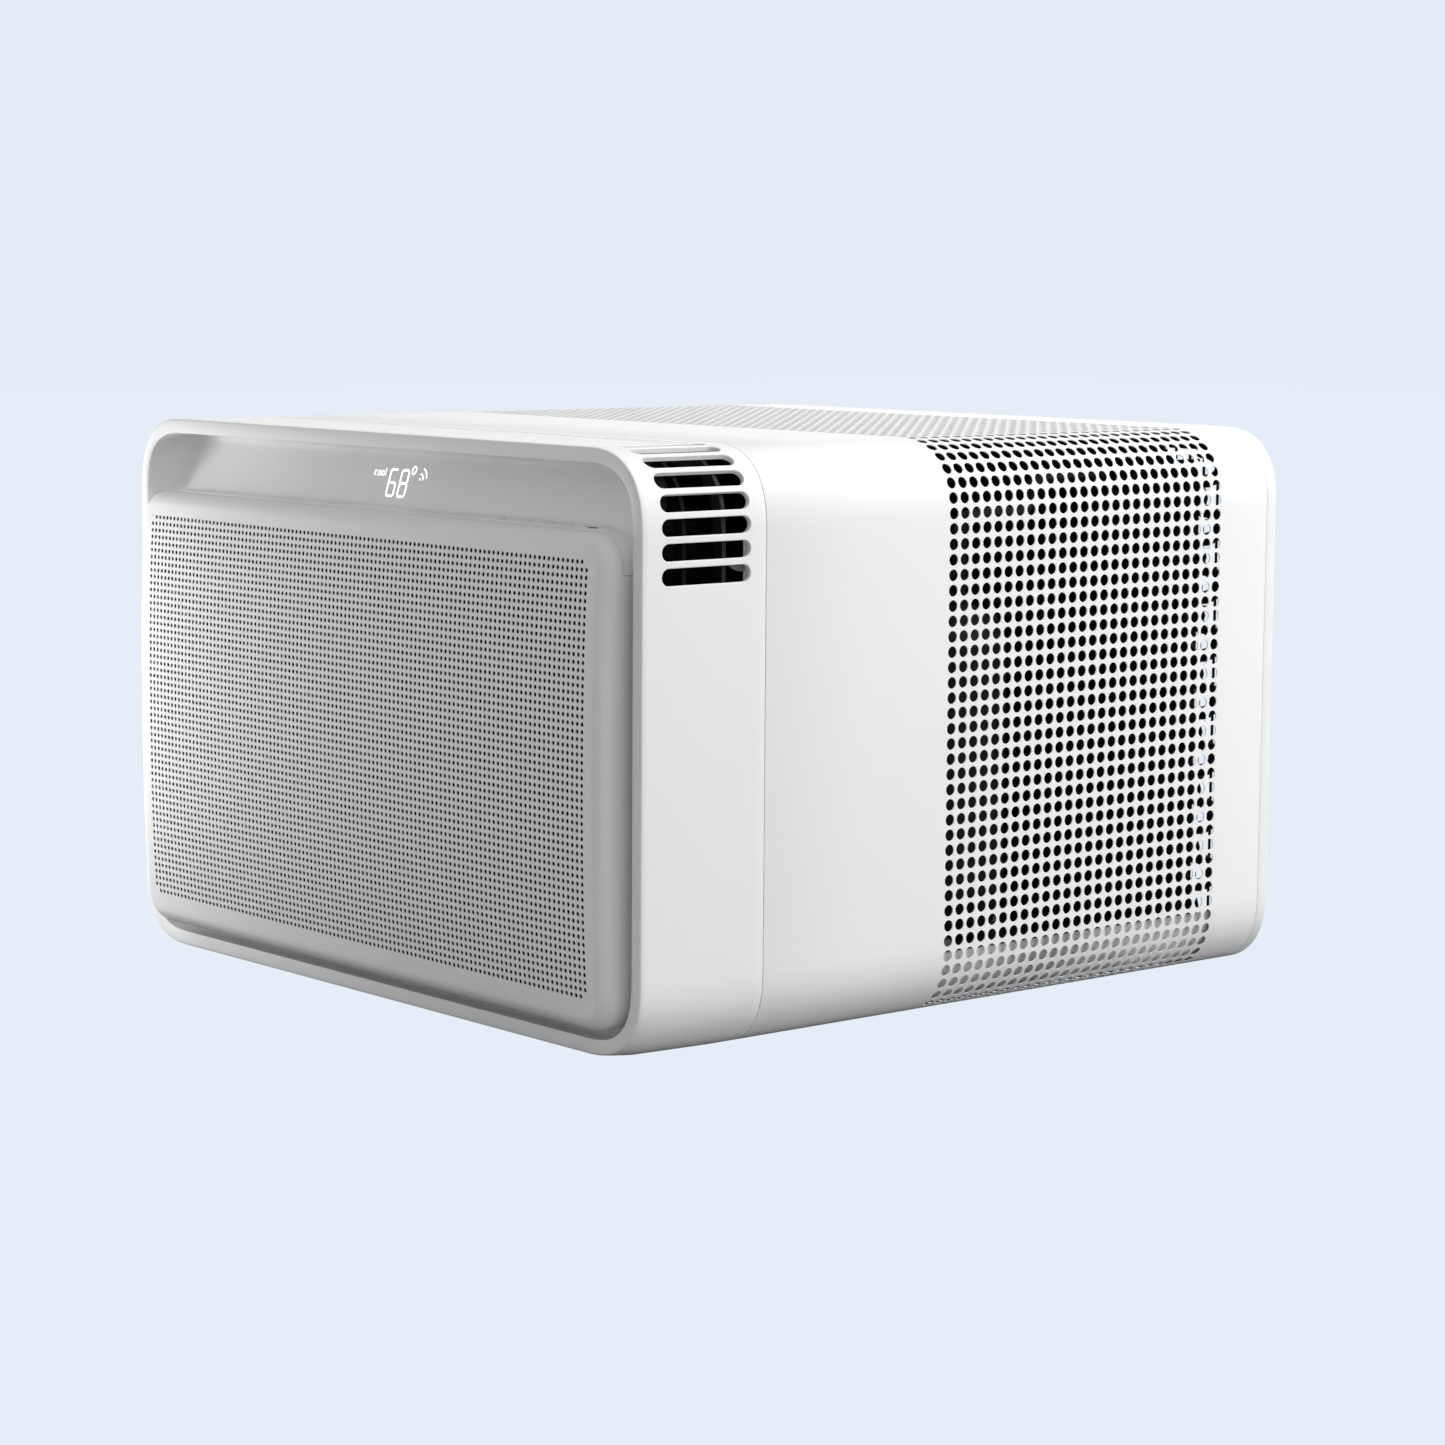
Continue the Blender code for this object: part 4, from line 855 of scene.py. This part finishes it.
for number, (low, high) in enumerate(button_boxes, start=1):
    body = f"button_{number}_body"
    cap = cap_mesh("cap", low, high)
    make_object(f"button_cap_{number}", cap, WHITE_SHELL, body, [f"button_{number}"], 60)
    # Each cap gets a small dark spot near its right end, painted shade for the gap at the button's end.
    spot_x, spot_y, spot = high.x - 0.0022, (low.y + high.y) / 2, 0.0008
    plan = rounded_plan(spot_x - spot, spot_x + spot, spot_y - spot * 2, spot_y + spot * 2, spot * 0.9)
    mesh = plate_mesh("spot", plan, [(0, high.z - 0.0002), (0, high.z + 0.00002), (0.0001, high.z + 0.00006)])
    make_object(f"button_spot_{number}", mesh, DARK_DOT, body, sharp=60)
make_object("sensor_lens", cap_mesh("sensor_lens", *sensor_box), SMOKED, replaces=["sensor_window"], sharp=60)


# ---- display: lit strokes on the fascia ------------------------------
def stroke(points, width, closed_path=False):
    """A flat lit stroke on the fascia through (x, z) points."""
    mesh = tube_mesh("stroke", [[(x, 0.0, z) for x, z in points]], width / 2, closed_path)
    for corner in mesh.vertices:
        x, off, z = corner.co
        corner.co = (x, back(fascia_depth(z)) - 0.00008 + off * 0.12, z)
    return mesh


def arc(cx, cz, radius, first, last, steps=10, squash=1.0):
    points = []
    for step in range(steps + 1):
        angle = math.radians(first + (last - first) * step / steps)
        points.append((cx + radius * squash * math.cos(angle), cz + radius * math.sin(angle)))
    return points


SIGN_BOTTOM = 0.3009
SIGN_HEIGHT = 0.0166
SIGN_SLANT = -0.05
DIGIT_WIDTH = 0.0084
STROKE = 0.00115


def digit_points(left, spots):
    """Slanted strokes from unit spots, pulled in by half a stroke so the digit keeps its size."""
    points = []
    for across, up in spots:
        z = SIGN_BOTTOM + STROKE / 2 + up * (SIGN_HEIGHT - STROKE)
        x = left + STROKE / 2 + across * (DIGIT_WIDTH - STROKE) + (z - SIGN_BOTTOM) * SIGN_SLANT
        points.append((x, z))
    return points


CUT = 0.16
LOOP_LOW = [(CUT, 0.5), (1 - CUT, 0.5), (1, 0.42), (1, 0.08), (1 - CUT, 0), (CUT, 0), (0, 0.08), (0, 0.42)]
LOOP_HIGH = [(CUT, 0.5), (0, 0.58), (0, 0.92), (CUT, 1), (1 - CUT, 1), (1, 0.92), (1, 0.58), (1 - CUT, 0.5)]
SIX_TAIL = [(0, 0.42), (0, 0.92), (CUT, 1), (0.9, 1)]
SIX_LEFT = -0.0111
EIGHT_LEFT = 0.0003
DEGREE = (0.0118, 0.3172)
DEGREE_RADIUS = 0.00225
sign = [
    stroke(digit_points(SIX_LEFT, LOOP_LOW), STROKE, True),
    stroke(digit_points(SIX_LEFT, SIX_TAIL), STROKE),
    stroke(digit_points(EIGHT_LEFT, LOOP_LOW), STROKE, True),
    stroke(digit_points(EIGHT_LEFT, LOOP_HIGH), STROKE, True),
    stroke(arc(*DEGREE, DEGREE_RADIUS, 0, 360, 16, 0.87)[:-1], 0.0007, True),
]
WAVE = (0.0194, 0.3123)
sign.append(stroke(arc(*WAVE, 0.0004, 0, 360, 8)[:-1], 0.0005, True))
for radius, first, last in ((0.0030, -5, 95), (0.0063, 8, 76)):
    sign.append(stroke(arc(*WAVE, radius, first, last, 8), 0.0008))
WORD = (-0.0265, 0.31435)           # middle of the mode word's first letter
WORD_PITCH = 0.00375
LETTER = 0.0014
WORD_STROKE = 0.00038
for place, (first, last) in enumerate(((50, 310), (0, 360), (0, 360))):
    letter = arc(WORD[0] + place * WORD_PITCH, WORD[1], LETTER, first, last, 12, 0.9)
    sign.append(stroke(letter, WORD_STROKE))
stem = WORD[0] + 2.7 * WORD_PITCH
sign.append(stroke([(stem, WORD[1] - LETTER), (stem, WORD[1] + 0.0029)], WORD_STROKE))
joined_sign = bmesh.new()
for mesh in sign:
    joined_sign.from_mesh(mesh)
sign_mesh = bpy.data.meshes.new("display_sign")
joined_sign.to_mesh(sign_mesh)
joined_sign.free()
make_object("display_sign", sign_mesh, LIT_SIGN, sharp=80)


# ---- CAD pieces kept, with their finishes ----------------------------
def dress(finish, *nodes):
    """One finish for CAD pieces that are shown as they are."""
    for node in nodes:
        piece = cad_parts[node]
        piece.data.materials.clear()
        piece.data.materials.append(finish)


# Near-black inside: real black parts, and painted shade on the duct, its ribs, the bulkhead and the tubes,
# which stand in for the dark inside of the case.
dress(BLACK_MOULDED_AND_SHADE, "outlet_duct", "scroll_housing", "blower_wheel", "condenser_fan", "fan_shroud")
dress(BLACK_MOULDED_AND_SHADE, "terminal_cover", "bulkhead", "outlet_rib_front", "suction_tube", "filter_frame")
dress(RUBBER, "front_seal", "drain_plug", "grommet_1", "grommet_2", "grommet_3")
dress(GALVANISED, "base_pan")
dress(ZINC, "motor_shaft", "motor_bracket", "control_box", "hinge_pin_left", "hinge_pin_right")
dress(ZINC, "panel_catch_left", "panel_catch_right")
dress(ZINC, "compressor_nut_1", "compressor_nut_2", "compressor_nut_3")
dress(BLACK_PAINT_AND_SHADE, "outlet_rib_rear", "compressor", "accumulator", "fan_motor")
dress(BLACK_PAINT_AND_SHADE, "condenser_header", "discharge_tube", "liquid_tube")
dress(COPPER, "evaporator_header")
dress(GREEN_BOARD, "display_board", "button_board", "control_board")
dress(FIN_METAL, "run_capacitor")


# ---- coils: plate fins, end plates and return bends ------------------
FIN_HALF = 0.00008                  # half a fin's thickness


def half_turn(x, y, middle, reach, half):
    """A U bend standing out from x by reach, its ends half above and below its middle."""
    angles = [math.pi * step / 8 for step in range(9)]
    return [(x + reach * math.sin(angle), y, middle - half * math.cos(angle)) for angle in angles]


def coil(name, node, finish, tube_finish, fin_pitch, rows, row_step, tube_radius=0.0035):
    """A plate-fin coil filling the node's box: fins, two end plates and return bends at each end."""
    low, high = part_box(node)
    plate = 0.0012
    bend_room = 0.012
    x0, x1 = low.x + bend_room, high.x - 0.001
    count = int((x1 - x0) / fin_pitch)
    at = x0 + (np.arange(count) + 0.5) * (x1 - x0) / count
    fin_lows = [(x - FIN_HALF, low.y + 0.001, low.z + 0.002) for x in at]
    fin_highs = [(x + FIN_HALF, high.y - 0.001, high.z - 0.002) for x in at]
    make_object(f"{name}_fins", boxes_mesh(name, fin_lows, fin_highs), finish, replaces=[node], sharp=30)
    lows = [(x0 - plate, low.y, low.z), (x1, low.y, low.z)]
    highs = [(x0, high.y, high.z), (x1 + plate, high.y, high.z)]
    make_object(f"{name}_end_plates", boxes_mesh(name, lows, highs), finish, replaces=[node], sharp=30)
    reach = bend_room - plate - tube_radius
    bends = []
    depth_step = (high.y - low.y) / rows
    heights = np.arange(low.z + row_step / 2, high.z - row_step, row_step)
    for row in range(rows):
        y = low.y + (row + 0.5) * depth_step
        for number, (z0, z1) in enumerate(zip(heights, heights[1:])):
            start, bulge = (x1 + plate, reach) if (number + row) % 2 else (x0 - plate, -reach)
            bends.append(half_turn(start, y, (z0 + z1) / 2, bulge, (z1 - z0) / 2))
        for z in heights:
            bends.append([(x0 - plate, y, z), (x1 + plate, y, z)])
    make_object(f"{name}_tubes", tube_mesh(name, bends, tube_radius), tube_finish, replaces=[node], sharp=60)


# The condenser's fins and tubes are near-black as painted shade for the dark inside of the case.
coil("condenser", "condenser_coil", SHADE_DARK_FIN, BLACK_PAINT_AND_SHADE, 0.0019, 2, 0.025)
coil("evaporator", "evaporator_coil", FIN_METAL, COPPER, 0.0017, 2, 0.021)
# Return bends past the condenser's right end, near-black as painted shade for the shadowed inside of the
# case.
BEND_PITCH = 0.0367
BEND_LOW = 0.040
BEND_X, BEND_REACH, BEND_HALF = 0.2150, 0.0180, 0.0095
side_bends = []
for depth, phase in ((0.4660, 0.0), (0.4840, 0.5)):
    for number in range(8):
        middle = BEND_LOW + (number + phase) * BEND_PITCH
        side_bends.append(half_turn(BEND_X, back(depth), middle, BEND_REACH, BEND_HALF))
make_object("condenser_bends", tube_mesh("condenser_bends", side_bends, 0.0042), BLACK_PAINT_AND_SHADE, sharp=60)

# ---- duct bracket and a grey wedge in painted shade, seen through the lowest side slots ---
BRACKET = [(0.0765, 0.2620), (0.0815, 0.2620), (0.0815, 0.2885), (0.0765, 0.2885)]
SHADED_WEDGE = [(0.0764, 0.2785), (0.0642, 0.2785), (0.0649, 0.2755)]
SHADED_WEDGE += [(0.0672, 0.2732), (0.0712, 0.2716), (0.0764, 0.2710)]
SIDE_PLATE_X = (0.2502, 0.2518)


def side_plate(name, outline, finish):
    """A flat piece just inside the right side of the case, from its outline in depth and height."""
    loops = [[(x, back(depth), z) for depth, z in outline] for x in SIDE_PLATE_X]
    make_object(name, capped_mesh(name, loops), finish, sharp=30)


side_plate("duct_bracket", BRACKET, WHITE_SHELL)
# The grey wedge is painted shade at the bracket's foot, darker only where the light does not reach.
side_plate("duct_wedge_shade", SHADED_WEDGE, SHADE_GREY)

# ---- filter behind the panel -----------------------------------------
# Straight crossing threads stand in for the woven cloth.
low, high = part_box("filter_mesh")
WEAVE = 0.0022                      # from thread to thread
THREAD = 0.00016                    # half a thread's thickness
xs = np.arange(low.x + WEAVE, high.x, WEAVE)
zs = np.arange(low.z + WEAVE, high.z, WEAVE)
mid_y = (low.y + high.y) / 2
lows = [(x - THREAD, mid_y - THREAD, low.z) for x in xs] + [(low.x, mid_y - THREAD, z - THREAD) for z in zs]
highs = [(x + THREAD, mid_y + THREAD, high.z) for x in xs]
highs += [(high.x, mid_y + THREAD, z + THREAD) for z in zs]
SHADE_BACKING = 0.00012                     # thin dark sheet behind the threads, painted shade for the dark inside behind the filter
cloths = {
    "filter_weave": (lows, highs),
    "filter_shade_sheet": ([(low.x, mid_y + THREAD, low.z)], [(high.x, mid_y + THREAD + SHADE_BACKING, high.z)]),
}
for name, corners in cloths.items():
    make_object(name, boxes_mesh(name, *corners), CLOTH, "intake_panel_body", ["filter_mesh"], 30)

# ---- rear guard: wire grille in a ring -------------------------------
low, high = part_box("rear_guard")
GUARD_Y = (low.y + high.y) / 2
guard_ring = Sheet()
ring_rows = [(0.0046, 0.4982), (0.0046, 0.5008), (0.0150, 0.5008), (0.0150, 0.4982), (0.0046, 0.4982)]
guard_ring.grid(skin_rows(whole_run, [(depth, inset) for inset, depth in ring_rows]), wrap=True)
make_object("guard_ring", guard_ring.mesh("guard_ring"), BLACK_PAINT_AND_SHADE, replaces=["rear_guard"], sharp=40)
WIRE = 0.0009
GUARD_INSET = 0.0125
edge_of = Section(WIDTH / 2 - GUARD_INSET, GUARD_INSET, HEIGHT - GUARD_INSET, CORNER - GUARD_INSET)
HALF_EDGE = 400                     # points from the top or the bottom to the middle of a side
edge_points = edge_of.read(np.linspace(0, edge_of.length / 2, 2 * HALF_EDGE))[0]
edges = (edge_points[: HALF_EDGE - 1 : -1], edge_points[:HALF_EDGE])
wires = []
for x in np.linspace(-0.228, 0.228, 39):
    wires.append([(x, GUARD_Y, np.interp(abs(x), edge[:, 0], edge[:, 1])) for edge in edges])
for z in (0.06, 0.115, 0.17, 0.225, 0.28):
    wires.append([(side * edge_points[:, 0].max(), GUARD_Y + 2 * WIRE, z) for side in (-1, 1)])
guard_mesh = tube_mesh("guard_wires", wires, WIRE)
make_object("guard_wires", guard_mesh, BLACK_PAINT_AND_SHADE, replaces=["rear_guard"], sharp=60)


# ---- rear screws, cord gland -----------------------------------------
def turned_mesh(name, profile, centre, axis, sides=32):
    """A closed profile of (radius, height) swept round an axis through centre."""
    turn = {"X": Matrix.Rotation(math.pi / 2, 4, "Y"), "Y": Matrix.Rotation(-math.pi / 2, 4, "X")}
    place = Matrix.Translation(centre) @ turn[axis]
    angles = np.linspace(0, 2 * math.pi, sides, endpoint=False)
    rings = []
    for radius, height in profile:
        ring = [(radius * math.cos(angle), radius * math.sin(angle), height) for angle in angles]
        rings.append([tuple(place @ Vector(point)) for point in ring])
    sheet = Sheet()
    sheet.grid(np.array(rings + rings[:1]), wrap=True)
    return sheet.mesh(name)


for number in range(1, 5):
    low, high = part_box(f"rear_screw_{number}")
    centre = Vector(((low.x + high.x) / 2, high.y - 0.0016, (low.z + high.z) / 2))
    profile = [(0.00002, 0.0), (0.0034, 0.0), (0.0034, 0.0006), (0.0031, 0.0011)]
    profile += [(0.0024, 0.00145), (0.00002, 0.0016)]
    cross = []
    for along in (Vector((0.0021, 0, 0.0004)), Vector((0.0004, 0, 0.0021))):
        middle = centre + Vector((0, 0.0014, 0))
        spread_by = Vector((along.x, 0.0009, along.z))
        cross.append(helper(boxes_mesh("cross", [middle - spread_by], [middle + spread_by])))
    mesh = carved(turned_mesh("screw", profile, centre, "Y", 28), cross)
    make_object(f"screw_head_{number}", mesh, ZINC, replaces=[f"rear_screw_{number}"], sharp=40)

low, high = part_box("cord_gland")
gland_radius = (high.z - low.z) / 2
GLAND_PROUD = 0.00003               # just enough for the rubber to cover the sleeve's skin
profile = [(0.00002, -GLAND_PROUD), (gland_radius * 0.95, -GLAND_PROUD), (gland_radius, 0.0008)]
profile += [(gland_radius, 0.0095), (0.0070, 0.0100), (0.00002, 0.0100)]
centre = Vector((low.x, (low.y + high.y) / 2, (low.z + high.z) / 2))
bushing = turned_mesh("cord_bushing", profile, centre, "X")
make_object("cord_bushing", bushing, RUBBER, replaces=["cord_gland"], sharp=40)

# ---- floor, light and camera -----------------------------------------
PALE = (0.791, 0.847, 0.930)
FLOOR_BOUNCE = 0.25


def split_view(tree, lit, seen, output, share=1.0):
    """Show the camera this share of the seen shader, and light everything else with the lit one."""
    nodes, links = tree.nodes, tree.links
    amount = nodes.new("ShaderNodeMath")
    amount.operation = "MULTIPLY"
    amount.inputs[1].default_value = share
    links.new(nodes.new("ShaderNodeLightPath").outputs["Is Camera Ray"], amount.inputs[0])
    mix = nodes.new("ShaderNodeMixShader")
    links.new(amount.outputs["Value"], mix.inputs["Fac"])
    links.new(lit, mix.inputs[1])
    links.new(seen, mix.inputs[2])
    links.new(mix.outputs["Shader"], nodes[output].inputs["Surface"])


def stage_material():
    """A pale floor that stays even in the picture, with a little of the real light and shadow on it."""
    made, nodes, _ = new_material("pale_floor")
    nodes.remove(nodes["Principled BSDF"])
    plain = nodes.new("ShaderNodeEmission")
    plain.inputs["Color"].default_value = (*PALE, 1)
    plain.inputs["Strength"].default_value = 1.02
    lit = nodes.new("ShaderNodeBsdfDiffuse")
    lit.inputs["Color"].default_value = (FLOOR_BOUNCE, FLOOR_BOUNCE, FLOOR_BOUNCE, 1.0)
    split_view(made.node_tree, lit.outputs["BSDF"], plain.outputs["Emission"], "Material Output", 0.975)
    return made


floor_mesh = boxes_mesh("studio_floor", [(-9, -9, -0.011)], [(9, 9, -0.0002)])
floor_mesh.materials.append(stage_material())
floor = helper(floor_mesh)

world = bpy.data.worlds.new("studio_air")
world.use_nodes = True
bpy.context.scene.world = world
air = world.node_tree.nodes
backdrop = air["Background"]
backdrop.inputs["Color"].default_value = (1.0, 1.0, 1.0, 1.0)
backdrop.inputs["Strength"].default_value = 0.49
seen = air.new("ShaderNodeBackground")
seen.inputs["Color"].default_value = (*PALE, 1)
seen.inputs["Strength"].default_value = 0.99
split_view(world.node_tree, backdrop.outputs["Background"], seen.outputs["Background"], "World Output")


def softbox(name, place, aim, size, power):
    """A rectangular light, out of the camera's sight, turned towards a point."""
    light = bpy.data.lights.new(name, "AREA")
    light.shape = "RECTANGLE"
    light.size, light.size_y = size
    light.energy = power
    made = bpy.data.objects.new(name, light)
    made.location = place
    made.rotation_euler = (Vector(aim) - Vector(place)).to_track_quat("-Z", "Y").to_euler()
    made.visible_camera = False
    bpy.context.scene.collection.objects.link(made)


NEAR_FACE = (0.1, -0.1, 0.17)
RIGHT_FACE = (0.2, 0.1, 0.2)
LEFT_EDGE = (-0.24, -0.26, 0.17)
softbox("high_right_rear", (1.3, 1.0, 1.9), RIGHT_FACE, (1.2, 1.0), 36.8)
softbox("right_rear", (1.9, 1.6, 0.7), RIGHT_FACE, (1.2, 1.2), 11.8)
softbox("right_side", (2.4, 0.3, 0.5), RIGHT_FACE, (1.6, 1.2), 3.9)
softbox("front_right", (2.2, -1.2, 0.4), NEAR_FACE, (1.0, 0.8), 2.6)
softbox("low_front", (-0.2, -2.0, 0.05), (0.0, -0.25, 0.17), (1.6, 0.3), 1.7)
softbox("left_strip", (-0.48, -0.38, 0.18), LEFT_EDGE, (0.15, 0.3), 1.3)
softbox("rear_left", (-1.9, 1.6, 0.65), (0.0, 0.0, 0.3), (1.6, 0.8), 8.0)

camera_data = bpy.data.cameras.new("view")
camera_data.lens = 91.28
camera_data.sensor_width = 36.0
camera_data.clip_start = 0.05
camera_data.clip_end = 60.0
camera = bpy.data.objects.new("view", camera_data)
CAMERA_PLACE = (1.78495, FRONT_Y - 1.23316, 0.43755)
AZIMUTH, PITCH, ROLL = math.radians(49.83), math.radians(7.083), math.radians(0.393)
turn = Matrix.Rotation(AZIMUTH, 4, "Z") @ Matrix.Rotation(math.pi / 2 - PITCH, 4, "X")
turn = turn @ Matrix.Rotation(ROLL, 4, "Z")
camera.matrix_world = Matrix.Translation(CAMERA_PLACE) @ turn
bpy.context.scene.collection.objects.link(camera)
bpy.context.scene.camera = camera
bpy.context.scene.view_settings.view_transform = "Standard"
